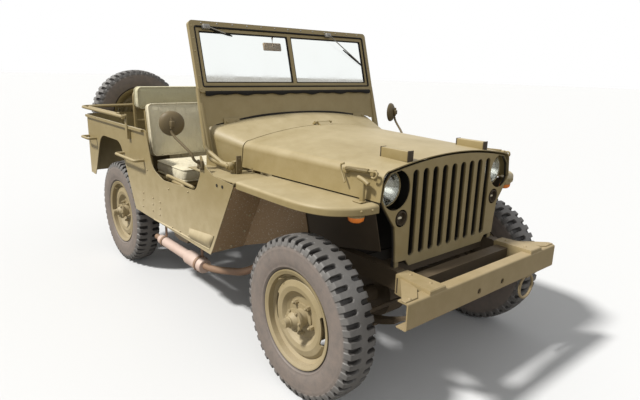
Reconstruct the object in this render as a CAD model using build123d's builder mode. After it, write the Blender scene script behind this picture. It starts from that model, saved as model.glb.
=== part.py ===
"""Open army 4x4 car on its wheels, in millimetres.

+X is forward, +Y is the car's left and +Z is up. The origin is on the ground, under the middle of the car.
Stations along the car are measured from the front axle: ahead(d) is in front of it and aft(d) behind it.
"""
import os
from math import cos, radians, sin, tan

from build123d import *

# Overall size and wheels
OVERALL_LENGTH = 3340.0
FRONT_OVERHANG = 483.0
WHEELBASE = 2032.0
TRACK_HALF = 622.0
TYRE_RADIUS = 356.0
TYRE_HALF_WIDTH = 78.0
RIM_RADIUS = 203.0
GROUND_TO_AXLE = TYRE_RADIUS

X_FRONT = OVERALL_LENGTH / 2 - FRONT_OVERHANG
X_REAR = X_FRONT - WHEELBASE


def ahead(distance):
    return X_FRONT + distance


def aft(distance):
    return X_FRONT - distance


# Sheet metal, tubes and gaps
SHEET = 4.0
SEAT_TUBE_RADIUS = 11.0
TOUCH_GAP = 0.3
MOVING_GAP = 6.0

# Chassis frame
RAIL_OUTER_Y = 372.0
RAIL_WIDTH = 46.0
RAIL_HEIGHT = 84.0
RAIL_FRONT_TOP = 587.0
FRAME_REAR_AFT = 2612.0

# Bumpers
BUMPER_HALF = 546.0
BUMPER_TOP = 573.0
BUMPER_HEIGHT = 138.0
BUMPER_DEPTH = 50.0
BUMPER_SHEET = 6.0

# Body tub
BODY_HALF = 720.0
BODY_REAR_AFT = 2600.0
SILL_Z = 470.0
FLOOR_TOP = 530.0
REAR_FLOOR_TOP = 606.0
RAIL_Z = 1000.0
CORNER_RADIUS = 75.0
WHEELHOUSE_INNER_Y = 455.0
WHEELHOUSE_TOP = 905.0
WHEELHOUSE_FRONT_AFT = 1704.0

# Hood, cowl and grille
GRILLE_AHEAD = 245.0
GRILLE_PAN = 26.0
HOOD_FRONT_AHEAD = 241.0
HOOD_REAR_AFT = 652.0
COWL_FRONT_AFT = 660.0
COWL_REAR_AFT = 880.0
HEADLAMP_Y = 374.0
HEADLAMP_Z = 922.0
HEADLAMP_HOLE_R = 82.0
HEADLAMP_FACE_AHEAD = 197.0
MARKER_Y = 334.0
MARKER_Z = 800.0
MARKER_HOLE_R = 37.0
SLOT_COUNT = 9
SLOT_PITCH = 65.0
SLOT_WIDTH = 38.0
SLOT_TOP = 995.0
SLOT_BOTTOM = 623.0
SLOT_LIP = 3.0
SLOT_LIP_DEPTH = 22.0

# Windshield
WINDSHIELD_HALF = BODY_HALF - 89
WINDSHIELD_TOP = 1600.0
WINDSHIELD_TOP_AFT = 1010.0
WINDSHIELD_RAKE = 15.6
APRON_TOP = 1240.0
PIVOT_AFT = 620.0
PIVOT_Z = 905.0
PIVOT_Y = 622.0


def slab(x0, x1, y0, y1, z0, z1, mode=Mode.ADD):
    """A box between two corners, added to the part being built."""
    with Locations(((x0 + x1) / 2, (y0 + y1) / 2, (z0 + z1) / 2)):
        Box(abs(x1 - x0), abs(y1 - y0), abs(z1 - z0), mode=mode)


def side_plate(outline, y0, y1, mode=Mode.ADD):
    """A plate whose outline is drawn in X and Z, from y0 to y1."""
    with BuildSketch(Plane.XZ.offset(-max(y0, y1))) as face:
        Polygon(*outline, align=None)
    extrude(face.sketch, amount=abs(y1 - y0), mode=mode)


def front_plate(outline, x0, x1, mode=Mode.ADD):
    """A plate whose outline is drawn in Y and Z, from x0 to x1."""
    with BuildSketch(Plane.YZ.offset(min(x0, x1))) as face:
        Polygon(*outline, align=None)
    extrude(face.sketch, amount=abs(x1 - x0), mode=mode)


def tube(points, radius, bend=0.0, mode=Mode.ADD):
    """A round bar that follows the points, with each corner bent to the radius."""
    with BuildLine() as path:
        if bend and len(points) > 2:
            FilletPolyline(*points, radius=bend)
        else:
            Polyline(*points)
    with BuildSketch(Plane(origin=path.line @ 0, z_dir=path.line % 0)) as face:
        Circle(radius)
    sweep(face.sketch, path=path.line, mode=mode)


def rod(start, end, radius, mode=Mode.ADD):
    """A straight round bar between two points."""
    span = Vector(*end) - Vector(*start)
    with BuildSketch(Plane(origin=start, z_dir=span)) as face:
        Circle(radius)
    extrude(face.sketch, amount=span.length, mode=mode)


def closed_outline(corners, plane, radii):
    """A sketch of a closed outline whose corners have their own radii."""
    with BuildSketch(plane) as sketch:
        with BuildLine():
            FilletPolyline(*corners, radius=radii, close=True)
        make_face()
    return sketch


# Chassis frame: two rails, kicked up over the axles, with cross members, spring hangers and bumper brackets
RAIL_MID_TOP = FLOOR_TOP - SHEET - TOUCH_GAP
RAIL_REAR_TOP = REAR_FLOOR_TOP - SHEET - TOUCH_GAP
RAIL_INNER_Y = RAIL_OUTER_Y - RAIL_WIDTH
RAIL_FRONT_X = ahead(FRONT_OVERHANG - BUMPER_DEPTH - TOUCH_GAP)
BRACKET_OUTER_Y = 394.0
BRACKET_REAR_AHEAD = 292.0
SPRING_EYE_RADIUS = 20.0
HANGER_SINK = 20.0
# spring: its axle's station, reach from the axle to each eye, height of the eyes, rail top over the eye
# ahead of the axle, rail top over the eye behind it
springs = [
    (X_FRONT, 385.0, 440.0, RAIL_FRONT_TOP, RAIL_FRONT_TOP),
    (X_REAR, 500.0, 412.0, RAIL_MID_TOP, RAIL_FRONT_TOP),
]
SPRING_WIDTH = 44.0
SPRING_Y = RAIL_OUTER_Y - RAIL_WIDTH / 2
rail_top = [
    (RAIL_FRONT_X, BUMPER_TOP - TOUCH_GAP),
    (ahead(310), BUMPER_TOP - TOUCH_GAP),
    (ahead(268), RAIL_FRONT_TOP),
    (aft(420), RAIL_FRONT_TOP),
    (aft(580), RAIL_MID_TOP),
    (aft(WHEELHOUSE_FRONT_AFT + 8), RAIL_MID_TOP),
    (aft(WHEELHOUSE_FRONT_AFT + 180), RAIL_REAR_TOP),
    (aft(FRAME_REAR_AFT), RAIL_REAR_TOP),
]
rail_outline = rail_top + [(x, z - RAIL_HEIGHT) for x, z in reversed(rail_top)]
# cross member: station aft of the front axle, top, height, length along the car
cross_members = [
    (-330, RAIL_FRONT_TOP - 18, 60, 60),
    (-180, RAIL_FRONT_TOP - 2, 54, 66),
    (1100, RAIL_MID_TOP - 2, 42, 60),
    (1500, RAIL_MID_TOP - 2, 56, 60),
    (2120, RAIL_REAR_TOP - 4, 60, 60),
    (FRAME_REAR_AFT - 29, RAIL_REAR_TOP - 2, 78, 58),
]
with BuildPart() as chassis_frame:
    side_plate(rail_outline, RAIL_INNER_Y, RAIL_OUTER_Y)
    slab(ahead(BRACKET_REAR_AHEAD), RAIL_FRONT_X, RAIL_OUTER_Y, BRACKET_OUTER_Y,
         RAIL_FRONT_TOP - 80, BUMPER_TOP - TOUCH_GAP)
    for axle_x, reach, eye_z, top_ahead, top_behind in springs:
        for eye_x, rail_z in ((axle_x + reach, top_ahead), (axle_x - reach, top_behind)):
            slab(eye_x - 22, eye_x + 22, RAIL_INNER_Y, RAIL_OUTER_Y,
                 eye_z + SPRING_EYE_RADIUS + TOUCH_GAP, rail_z - HANGER_SINK)
    mirror(about=Plane.XZ)
    for station, top, height, length in cross_members:
        slab(aft(station + length / 2), aft(station - length / 2), -RAIL_INNER_Y - 5, RAIL_INNER_Y + 5,
             top - height, top)

# Front bumper: a channel open to the rear, with two holes and the gusset plates behind it
BUMPER_HOLE_Y = 88.0
BUMPER_HOLE_Z = 498.0
BUMPER_FRONT_X = ahead(FRONT_OVERHANG)
with BuildPart() as front_bumper:
    slab(BUMPER_FRONT_X - BUMPER_DEPTH, BUMPER_FRONT_X, -BUMPER_HALF, BUMPER_HALF,
         BUMPER_TOP - BUMPER_HEIGHT, BUMPER_TOP)
    slab(BUMPER_FRONT_X - BUMPER_DEPTH, BUMPER_FRONT_X - BUMPER_SHEET, -BUMPER_HALF, BUMPER_HALF,
         BUMPER_TOP - BUMPER_HEIGHT + BUMPER_SHEET, BUMPER_TOP - BUMPER_SHEET, mode=Mode.SUBTRACT)
    with Locations(Plane.YZ.offset(BUMPER_FRONT_X)):
        with Locations((-BUMPER_HOLE_Y, BUMPER_HOLE_Z), (BUMPER_HOLE_Y, BUMPER_HOLE_Z)):
            Hole(13, depth=BUMPER_SHEET + 1)
    for inner_y, outer_y in ((BRACKET_OUTER_Y, BUMPER_HALF - 20), (RAIL_INNER_Y, RAIL_INNER_Y - 130)):
        gap = TOUCH_GAP if outer_y > inner_y else -TOUCH_GAP
        for way in (-1, 1):
            with BuildSketch(Plane.XY.offset(BUMPER_TOP)):
                Polygon(
                    (BUMPER_FRONT_X - 8, way * (inner_y + gap)),
                    (BUMPER_FRONT_X - 8, way * outer_y),
                    (BUMPER_FRONT_X - BUMPER_DEPTH, way * outer_y),
                    (BUMPER_FRONT_X - 170, way * (inner_y + gap)),
                    align=None,
                )
            extrude(amount=5)

# Wooden filler inside the bumper channel
with BuildPart() as bumper_filler:
    slab(BUMPER_FRONT_X - BUMPER_DEPTH, BUMPER_FRONT_X - BUMPER_SHEET - TOUCH_GAP, -BUMPER_HALF + 4,
         BUMPER_HALF - 4, BUMPER_TOP - BUMPER_HEIGHT + BUMPER_SHEET + TOUCH_GAP,
         BUMPER_TOP - BUMPER_SHEET - TOUCH_GAP)
    with Locations(Plane.YZ.offset(BUMPER_FRONT_X)):
        with Locations((-BUMPER_HOLE_Y, BUMPER_HOLE_Z), (BUMPER_HOLE_Y, BUMPER_HOLE_Z)):
            Hole(13, depth=2 * BUMPER_DEPTH)

# Rear bumperettes and tow hook, bolted to the last cross member
FRAME_REAR_X = aft(FRAME_REAR_AFT)
REAR_X = -OVERALL_LENGTH / 2
TOW_PLATE = 12.0
TOW_Z = RAIL_REAR_TOP - 42
TOW_BOLT_Y = 90.0
TOW_BOLT_Z = 50.0
with BuildPart() as rear_bumperettes:
    for way in (-1, 1):
        with BuildSketch(Plane.XY.offset(TOW_Z - 60)):
            with BuildLine():
                FilletPolyline(
                    (FRAME_REAR_X - TOUCH_GAP, way * (RAIL_OUTER_Y - 60)),
                    (FRAME_REAR_X - 150, way * (RAIL_OUTER_Y - 45)),
                    (FRAME_REAR_X - 150, way * (RAIL_OUTER_Y + 70)),
                    (FRAME_REAR_X - 90, way * (RAIL_OUTER_Y + 90)),
                    (FRAME_REAR_X - 90, way * (RAIL_OUTER_Y + 82)),
                    (FRAME_REAR_X - 142, way * (RAIL_OUTER_Y + 62)),
                    (FRAME_REAR_X - 142, way * (RAIL_OUTER_Y - 37)),
                    (FRAME_REAR_X - TOUCH_GAP, way * (RAIL_OUTER_Y - 52)),
                    radius=[0, 25, 25, 0, 0, 17, 17, 0],
                    close=True,
                )
            make_face()
        extrude(amount=80)

with BuildPart() as tow_hook:
    slab(FRAME_REAR_X - TOUCH_GAP - TOW_PLATE, FRAME_REAR_X - TOUCH_GAP, -65, 65, TOW_Z - 38, TOW_Z + 38)
    rod((FRAME_REAR_X - TOW_PLATE, 0, TOW_Z), (REAR_X + 85, 0, TOW_Z), 24)
    with BuildSketch(Plane.XZ.offset(-14)):
        with Locations((REAR_X + 50, TOW_Z + 10)):
            Circle(50)
            Circle(24, mode=Mode.SUBTRACT)
            with Locations((0, 44)):
                Rectangle(40, 44, mode=Mode.SUBTRACT)
    extrude(amount=28)
    with Locations(Plane.YZ.offset(FRAME_REAR_X)):
        with Locations((0, TOW_Z)):
            with GridLocations(TOW_BOLT_Y, TOW_BOLT_Z, 2, 2):
                Hole(6.5, depth=2 * TOW_PLATE)


def arch(x, half_low, half_shoulder, half_crown, z_low, z_shoulder, z_crown, z_top, wall):
    """The face of a hood-shaped sheet at station x: side walls, round shoulders and a crowned top."""
    root_half = 0.7071
    with BuildSketch(Plane.YZ.offset(x)) as sketch:
        with BuildLine():
            rings = []
            for inset in (0.0, wall):
                low, shoulder, crown = half_low - inset, half_shoulder - inset, half_crown - inset
                zs, zc, zt = z_shoulder - inset * 0.5, z_crown - inset, z_top - inset
                mid_y = crown + (shoulder - crown) * root_half
                mid_z = zs + (zc - zs) * root_half
                Line((-low, z_low), (-shoulder, zs))
                ThreePointArc((-shoulder, zs), (-mid_y, mid_z), (-crown, zc))
                ThreePointArc((-crown, zc), (0, zt), (crown, zc))
                ThreePointArc((crown, zc), (mid_y, mid_z), (shoulder, zs))
                Line((shoulder, zs), (low, z_low))
                rings.append(low)
            Line((-rings[0], z_low), (-rings[1], z_low))
            Line((rings[0], z_low), (rings[1], z_low))
        make_face()
    return sketch


def arch_solid(x, half_low, half_shoulder, half_crown, z_low, z_shoulder, z_crown, z_top, grow):
    """The filled section of the same sheet, grown outward by a clearance."""
    root_half = 0.7071
    low, shoulder, crown = half_low + grow, half_shoulder + grow, half_crown + grow
    zs, zc, zt = z_shoulder + grow * 0.5, z_crown + grow, z_top + grow
    mid_y = crown + (shoulder - crown) * root_half
    mid_z = zs + (zc - zs) * root_half
    with BuildSketch(Plane.YZ.offset(x)) as sketch:
        with BuildLine():
            Line((-low, z_low), (-shoulder, zs))
            ThreePointArc((-shoulder, zs), (-mid_y, mid_z), (-crown, zc))
            ThreePointArc((-crown, zc), (0, zt), (crown, zc))
            ThreePointArc((crown, zc), (mid_y, mid_z), (shoulder, zs))
            Line((shoulder, zs), (low, z_low))
            Line((low, z_low), (-low, z_low))
        make_face()
    return sketch


# Hood and cowl sections: half widths low, at the shoulder and at the crown's edge, then the four heights
HOOD_FRONT_SECTION = (464, 453, 415, 884, 966, 1006, 1046)
HOOD_REAR_SECTION = (532, 524, 484, 886, 972, 1018, 1075)
COWL_FRONT_SECTION = (533, 524, 484, 864, 972, 1018, 1075)
COWL_REAR_SECTION = (612, 606, 552, 864, 1012, 1080, 1125)

# Hood hinge: an eye on the hood between two ears on the cowl
HINGE_AFT = 656.0
HINGE_Z = 1088.0
HINGE_EYE_RADIUS = 8.0
HINGE_EYE_HALF = 40.0
HINGE_EAR_Y = 46.0
HINGE_EAR_WIDTH = 14.0
HINGE_PIN_RADIUS = 3.5
STRAP_TOP = HINGE_Z - 14
STRAP_BOTTOM = HINGE_Z - 17
PIN_CLEARANCE = 0.05

# Hood: one crowned sheet with turned-down sides
with BuildPart() as hood:
    hood_front = arch(ahead(HOOD_FRONT_AHEAD), *HOOD_FRONT_SECTION, SHEET)
    hood_rear = arch(aft(HOOD_REAR_AFT), *HOOD_REAR_SECTION, SHEET)
    loft([hood_front.sketch, hood_rear.sketch], ruled=True)
    rod((aft(HINGE_AFT), -HINGE_EYE_HALF, HINGE_Z), (aft(HINGE_AFT), HINGE_EYE_HALF, HINGE_Z),
        HINGE_EYE_RADIUS)
    side_plate([(aft(HINGE_AFT), HINGE_Z + 7), (aft(HINGE_AFT - 34), STRAP_TOP),
                (aft(HINGE_AFT - 34), STRAP_BOTTOM), (aft(HINGE_AFT - 8), STRAP_BOTTOM),
                (aft(HINGE_AFT), HINGE_Z - 6)], -HINGE_EYE_HALF, HINGE_EYE_HALF)
    rod((aft(HINGE_AFT), -HINGE_EYE_HALF - 1, HINGE_Z), (aft(HINGE_AFT), HINGE_EYE_HALF + 1, HINGE_Z),
        HINGE_PIN_RADIUS + PIN_CLEARANCE, mode=Mode.SUBTRACT)

# Two wooden blocks in brackets near the front of the hood, where the folded windshield rests
BLOCK_Y = 265.0
BLOCK_LENGTH = 178.0
BLOCK_WIDTH = 36.0
BLOCK_TOP = 1074.0
BLOCK_FRONT_AHEAD = 234.0
with BuildPart() as hood_blocks:
    for way in (-1, 1):
        slab(ahead(BLOCK_FRONT_AHEAD - BLOCK_LENGTH), ahead(BLOCK_FRONT_AHEAD),
             way * (BLOCK_Y - BLOCK_WIDTH / 2), way * (BLOCK_Y + BLOCK_WIDTH / 2), 1000, BLOCK_TOP)
    hood_fill = arch_solid(ahead(HOOD_FRONT_AHEAD), *HOOD_FRONT_SECTION, TOUCH_GAP)
    hood_fill_rear = arch_solid(aft(HOOD_REAR_AFT), *HOOD_REAR_SECTION, TOUCH_GAP)
    loft([hood_fill.sketch, hood_fill_rear.sketch], ruled=True, mode=Mode.SUBTRACT)

# Cowl: the same section carried back to the windshield, with its bulkhead, dash panel and side shelves
SHELF_Z = 868.0
SHELF_FRONT_AFT = 421.8
DASH_BOTTOM = 965.0
SHELF_INNER = 505.0
with BuildPart() as cowl_plates:
    slab(aft(COWL_FRONT_AFT + 8), aft(COWL_FRONT_AFT + 4), -BODY_HALF, BODY_HALF, SHELF_Z - SHEET, 1160)
    slab(aft(COWL_REAR_AFT), aft(COWL_REAR_AFT - SHEET), -BODY_HALF, BODY_HALF, DASH_BOTTOM, 1160)
    trim_front = arch_solid(aft(COWL_FRONT_AFT - 2), *COWL_FRONT_SECTION, -1.5)
    trim_rear = arch_solid(aft(COWL_REAR_AFT + 2), *COWL_REAR_SECTION, -1.5)
    loft([trim_front.sketch, trim_rear.sketch], ruled=True, mode=Mode.INTERSECT)
with BuildPart() as cowl:
    cowl_front = arch(aft(COWL_FRONT_AFT), *COWL_FRONT_SECTION, SHEET)
    cowl_rear = arch(aft(COWL_REAR_AFT), *COWL_REAR_SECTION, SHEET)
    loft([cowl_front.sketch, cowl_rear.sketch], ruled=True)
    add(cowl_plates.part)
    rod((aft(HINGE_AFT), -HINGE_EAR_Y - 4, HINGE_Z), (aft(HINGE_AFT), HINGE_EAR_Y + 4, HINGE_Z),
        HINGE_PIN_RADIUS)
    for way in (-1, 1):
        ear_y = way * HINGE_EAR_Y
        ear_end_y = way * (HINGE_EAR_Y + HINGE_EAR_WIDTH)
        rod((aft(HINGE_AFT), ear_y, HINGE_Z), (aft(HINGE_AFT), ear_end_y, HINGE_Z), HINGE_EYE_RADIUS)
        side_plate([(aft(HINGE_AFT), HINGE_Z + 7), (aft(HINGE_AFT + 28), STRAP_TOP - 1),
                    (aft(HINGE_AFT + 6), STRAP_TOP - 1),
                    (aft(HINGE_AFT + 6), HINGE_Z - 6), (aft(HINGE_AFT), HINGE_Z - 6)], ear_y, ear_end_y)
        slab(aft(COWL_REAR_AFT), aft(SHELF_FRONT_AFT), way * SHELF_INNER,
             way * (BODY_HALF - SHEET - TOUCH_GAP),
             SHELF_Z - SHEET, SHELF_Z)
        slab(aft(PIVOT_AFT + 14), aft(PIVOT_AFT - 14), way * 560, way * 604, SHELF_Z - SHEET, PIVOT_Z + 22)
        rod((aft(PIVOT_AFT), way * 600, PIVOT_Z), (aft(PIVOT_AFT), way * 640, PIVOT_Z), 6)

# Grille: a pressed pan with nine slots, two headlamp holes and two marker holes
grille_half = [
    (407, 993), (441, 953), (452, 884), (438, 858), (371, 767), (360, 690), (355, 613), (290, 610),
    (267, 581),
]
GRILLE_TOP = 1034.0
with BuildPart() as grille:
    with BuildSketch(Plane.YZ.offset(ahead(GRILLE_AHEAD - GRILLE_PAN))) as grille_outline:
        with BuildLine():
            Polyline(*grille_half, *[(-y, z) for y, z in reversed(grille_half)])
            ThreePointArc((-grille_half[0][0], grille_half[0][1]), (0, GRILLE_TOP), grille_half[0])
        make_face()
    extrude(grille_outline.sketch, amount=GRILLE_PAN)
    with BuildSketch(Plane.YZ.offset(ahead(GRILLE_AHEAD - GRILLE_PAN))) as pan:
        offset(grille_outline.sketch_local, amount=-SHEET)
    extrude(pan.sketch, amount=GRILLE_PAN - SHEET, mode=Mode.SUBTRACT)
    with BuildSketch(Plane.YZ.offset(ahead(GRILLE_AHEAD - SHEET - 1))):
        with Locations((0, (SLOT_TOP + SLOT_BOTTOM) / 2)):
            with GridLocations(SLOT_PITCH, 0, SLOT_COUNT, 1):
                SlotOverall(SLOT_TOP - SLOT_BOTTOM, SLOT_WIDTH, rotation=90)
        with Locations((-HEADLAMP_Y, HEADLAMP_Z), (HEADLAMP_Y, HEADLAMP_Z)):
            Circle(HEADLAMP_HOLE_R)
        with Locations((-MARKER_Y, MARKER_Z), (MARKER_Y, MARKER_Z)):
            Circle(MARKER_HOLE_R)
    extrude(amount=SHEET + 2, mode=Mode.SUBTRACT)
    with BuildSketch(Plane.YZ.offset(ahead(GRILLE_AHEAD - SLOT_LIP_DEPTH))) as lips:
        with Locations((0, (SLOT_TOP + SLOT_BOTTOM) / 2)):
            with GridLocations(SLOT_PITCH, 0, SLOT_COUNT, 1):
                SlotOverall(SLOT_TOP - SLOT_BOTTOM + 2 * SLOT_LIP, SLOT_WIDTH + 2 * SLOT_LIP, rotation=90)
                SlotOverall(SLOT_TOP - SLOT_BOTTOM, SLOT_WIDTH, rotation=90, mode=Mode.SUBTRACT)
    extrude(lips.sketch, amount=SLOT_LIP_DEPTH - 1)
    for way in (-1, 1):
        slab(ahead(GRILLE_AHEAD - GRILLE_PAN), ahead(GRILLE_AHEAD - SHEET), way * 330, way * 352,
             RAIL_FRONT_TOP + TOUCH_GAP, SLOT_BOTTOM - 7)

# Radiator core behind the grille
with BuildPart() as radiator:
    slab(ahead(150), ahead(208), -245, 245, RAIL_FRONT_TOP - 2 + TOUCH_GAP, 985)
    slab(ahead(160), ahead(200), -60, 60, 985, 1012)

# Engine and gearbox, each as plain blocks of the real one's size
ENGINE_REAR_AFT = 392.0
with BuildPart() as engine:
    slab(aft(ENGINE_REAR_AFT), ahead(70), -150, 150, 480, 900)
    slab(ahead(30), ahead(42), -RAIL_INNER_Y + TOUCH_GAP, RAIL_INNER_Y - TOUCH_GAP, 510, 575)

with BuildPart() as gearbox:
    slab(aft(560), aft(ENGINE_REAR_AFT + TOUCH_GAP), -130, 130, 420, 680)
    slab(aft(850), aft(560), -85, 85, 420, 600)
    slab(aft(980), aft(760), -200, 70, 400, 500)

# Front fenders: a flat top with a rounded front corner, a lip all round and a slanted inner splash panel
FENDER_TOP = 856.0
FENDER_LIP = 64.0
FENDER_OUTER = BODY_HALF - 8
FENDER_REAR_AFT = 426.0
fender_corners = [
    (aft(FENDER_REAR_AFT), 440), (aft(FENDER_REAR_AFT), FENDER_OUTER), (ahead(60), FENDER_OUTER),
    (ahead(205), FENDER_OUTER - 192), (ahead(205), 432), (ahead(180), 432),
]
fender_radii = [0, 6, 200, 40, 0, 0]
with BuildPart() as fender_left:
    outline = closed_outline(fender_corners, Plane.XY.offset(FENDER_TOP - FENDER_LIP), fender_radii)
    extrude(outline.sketch, amount=FENDER_LIP)
    with BuildSketch(Plane.XY.offset(FENDER_TOP - FENDER_LIP)) as well:
        add(closed_outline(fender_corners, Plane.XY, fender_radii).sketch)
        offset(amount=-SHEET)
    extrude(well.sketch, amount=FENDER_LIP - SHEET, mode=Mode.SUBTRACT)
    slab(aft(FENDER_REAR_AFT + 2), aft(FENDER_REAR_AFT - SHEET - 2), 420, FENDER_OUTER - SHEET,
         FENDER_TOP - FENDER_LIP - 1, FENDER_TOP - SHEET, mode=Mode.SUBTRACT)
    front_plate([(452, FENDER_TOP), (446, FENDER_TOP), (374, 600), (380, 600)], aft(FENDER_REAR_AFT),
                ahead(GRILLE_AHEAD - GRILLE_PAN - 4))
with BuildPart() as fender_right:
    mirror(fender_left.part, about=Plane.XZ)

# Body side: a sheet with the door opening, the rear wheel arch and the slanted front edge, and its top rail
side_corners = [
    (aft(658), SILL_Z - 16), (aft(630), SILL_Z + 26), (aft(427), 846), (aft(427), 858), (aft(610), 868),
    (aft(690), 902), (aft(728), 950), (aft(740), 950), (aft(742), 852), (aft(800), 757), (aft(1200), 739),
    (aft(1345), 782), (aft(1418), RAIL_Z), (aft(BODY_REAR_AFT - CORNER_RADIUS), RAIL_Z),
    (aft(BODY_REAR_AFT - CORNER_RADIUS), 562), (aft(2436), 556), (aft(2250), 880), (aft(1860), 880),
    (aft(1648), SILL_Z),
]
side_radii = [0, 0, 0, 0, 30, 30, 8, 0, 60, 60, 90, 90, 30, 0, 0, 20, 140, 110, 0]
with BuildPart() as side_left:
    outline = closed_outline(side_corners, Plane.XZ.offset(-BODY_HALF), side_radii)
    extrude(outline.sketch, amount=SHEET)
    slab(aft(BODY_REAR_AFT - CORNER_RADIUS), aft(1450), BODY_HALF - 1, BODY_HALF + 16, RAIL_Z - 16, RAIL_Z)
with BuildPart() as side_right:
    mirror(side_left.part, about=Plane.XZ)

# Rear panel with the two rounded corners
BODY_REAR_X = aft(BODY_REAR_AFT)
REAR_PANEL_BOTTOM = 560.0
with BuildPart() as rear_panel:
    with BuildSketch(Plane.XY.offset(REAR_PANEL_BOTTOM)) as ring:
        with BuildLine():
            FilletPolyline(
                (BODY_REAR_X + CORNER_RADIUS - TOUCH_GAP, BODY_HALF), (BODY_REAR_X, BODY_HALF),
                (BODY_REAR_X, -BODY_HALF), (BODY_REAR_X + CORNER_RADIUS - TOUCH_GAP, -BODY_HALF),
                (BODY_REAR_X + CORNER_RADIUS - TOUCH_GAP, -BODY_HALF + SHEET),
                (BODY_REAR_X + SHEET, -BODY_HALF + SHEET), (BODY_REAR_X + SHEET, BODY_HALF - SHEET),
                (BODY_REAR_X + CORNER_RADIUS - TOUCH_GAP, BODY_HALF - SHEET),
                radius=[0, CORNER_RADIUS - 1, CORNER_RADIUS - 1, 0, 0, CORNER_RADIUS - SHEET - 1,
                        CORNER_RADIUS - SHEET - 1, 0],
                close=True,
            )
        make_face()
    extrude(ring.sketch, amount=RAIL_Z - REAR_PANEL_BOTTOM)
    slab(BODY_REAR_X - 1, BODY_REAR_X + SHEET + 1, -RAIL_OUTER_Y - 20, RAIL_OUTER_Y + 20,
         REAR_PANEL_BOTTOM - 1, REAR_FLOOR_TOP - SHEET, mode=Mode.SUBTRACT)

# Floor: front and rear floor, the slanted toe panel, the gearbox tunnel and the two wheel houses
INSIDE_Y = BODY_HALF - SHEET - TOUCH_GAP
TUNNEL_HALF = 205.0
TUNNEL_TOP = 700.0
TOE_AFT = 626.0
TOE_TOP_AFT = 421.8
TOE_TOP = SHELF_Z - SHEET - TOUCH_GAP
with BuildPart() as floor_pan:
    slab(aft(WHEELHOUSE_FRONT_AFT), aft(TOE_AFT), -INSIDE_Y, INSIDE_Y, FLOOR_TOP - SHEET, FLOOR_TOP)
    side_plate([(aft(TOE_TOP_AFT), TOE_TOP), (aft(TOE_TOP_AFT + 6), TOE_TOP),
                (aft(TOE_AFT + 6), FLOOR_TOP - SHEET),
                (aft(TOE_AFT), FLOOR_TOP - SHEET)], -INSIDE_Y, INSIDE_Y)
    slab(aft(700), aft(380), -150, 150, 400, 700, mode=Mode.SUBTRACT)
    slab(aft(1000), aft(400), -TUNNEL_HALF, 150, FLOOR_TOP - SHEET, TUNNEL_TOP - 90)
    slab(aft(720), aft(400), -152, 152, FLOOR_TOP - SHEET, TUNNEL_TOP)
    slab(aft(1000 - SHEET), aft(390), -TUNNEL_HALF + SHEET, 150 - SHEET, 380, TUNNEL_TOP - 90 - SHEET,
         mode=Mode.SUBTRACT)
    slab(aft(720 - SHEET), aft(380), -152 + SHEET, 152 - SHEET, 380, TUNNEL_TOP - SHEET, mode=Mode.SUBTRACT)
    slab(aft(640), aft(380), -260, 260, 300, FLOOR_TOP - 10, mode=Mode.SUBTRACT)
    slab(aft(WHEELHOUSE_FRONT_AFT + SHEET), aft(WHEELHOUSE_FRONT_AFT), -INSIDE_Y, INSIDE_Y,
         FLOOR_TOP - SHEET, REAR_FLOOR_TOP)
    slab(aft(BODY_REAR_AFT - SHEET - 1), aft(WHEELHOUSE_FRONT_AFT), -WHEELHOUSE_INNER_Y, WHEELHOUSE_INNER_Y,
         REAR_FLOOR_TOP - SHEET, REAR_FLOOR_TOP)
    for way in (-1, 1):
        slab(aft(WHEELHOUSE_FRONT_AFT + SHEET), aft(WHEELHOUSE_FRONT_AFT), way * WHEELHOUSE_INNER_Y,
             way * INSIDE_Y, FLOOR_TOP - SHEET, WHEELHOUSE_TOP)
        slab(aft(BODY_REAR_AFT - CORNER_RADIUS), aft(WHEELHOUSE_FRONT_AFT), way * WHEELHOUSE_INNER_Y,
             way * (WHEELHOUSE_INNER_Y - SHEET), REAR_FLOOR_TOP - SHEET, WHEELHOUSE_TOP)
        slab(aft(BODY_REAR_AFT - CORNER_RADIUS), aft(WHEELHOUSE_FRONT_AFT),
             way * (WHEELHOUSE_INNER_Y - SHEET),
             way * INSIDE_Y, WHEELHOUSE_TOP - SHEET, WHEELHOUSE_TOP)

# Windshield plane: u runs to the car's left, v runs up the glass, and its origin is the top edge's middle
RAKE = radians(WINDSHIELD_RAKE)
SHIELD_PLANE = Plane(
    origin=(aft(WINDSHIELD_TOP_AFT), 0, WINDSHIELD_TOP), x_dir=(0, 1, 0), z_dir=(cos(RAKE), 0, sin(RAKE))
)
SHIELD_BAR = 30.0
SHIELD_DEPTH = 26.0
GLASS_BAR = 22.0
GLASS_DEPTH = 16.0
APRON_V = -(WINDSHIELD_TOP - APRON_TOP) / cos(RAKE)
APRON_BOTTOM_V = -(WINDSHIELD_TOP - 952) / cos(RAKE)
PANE_TOP_V = -SHIELD_BAR - GLASS_BAR
PANE_BOTTOM_V = APRON_V + SHIELD_BAR + GLASS_BAR
PANE_OUTER_U = WINDSHIELD_HALF - SHIELD_BAR - GLASS_BAR
DIVIDER_HALF = 12.0
ARM_RADIUS = 11.0
ARM_Y = 638.0


def rake_x(z):
    """Station of the windshield plane at height z."""
    return aft(WINDSHIELD_TOP_AFT) + (WINDSHIELD_TOP - z) * tan(RAKE)


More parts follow.
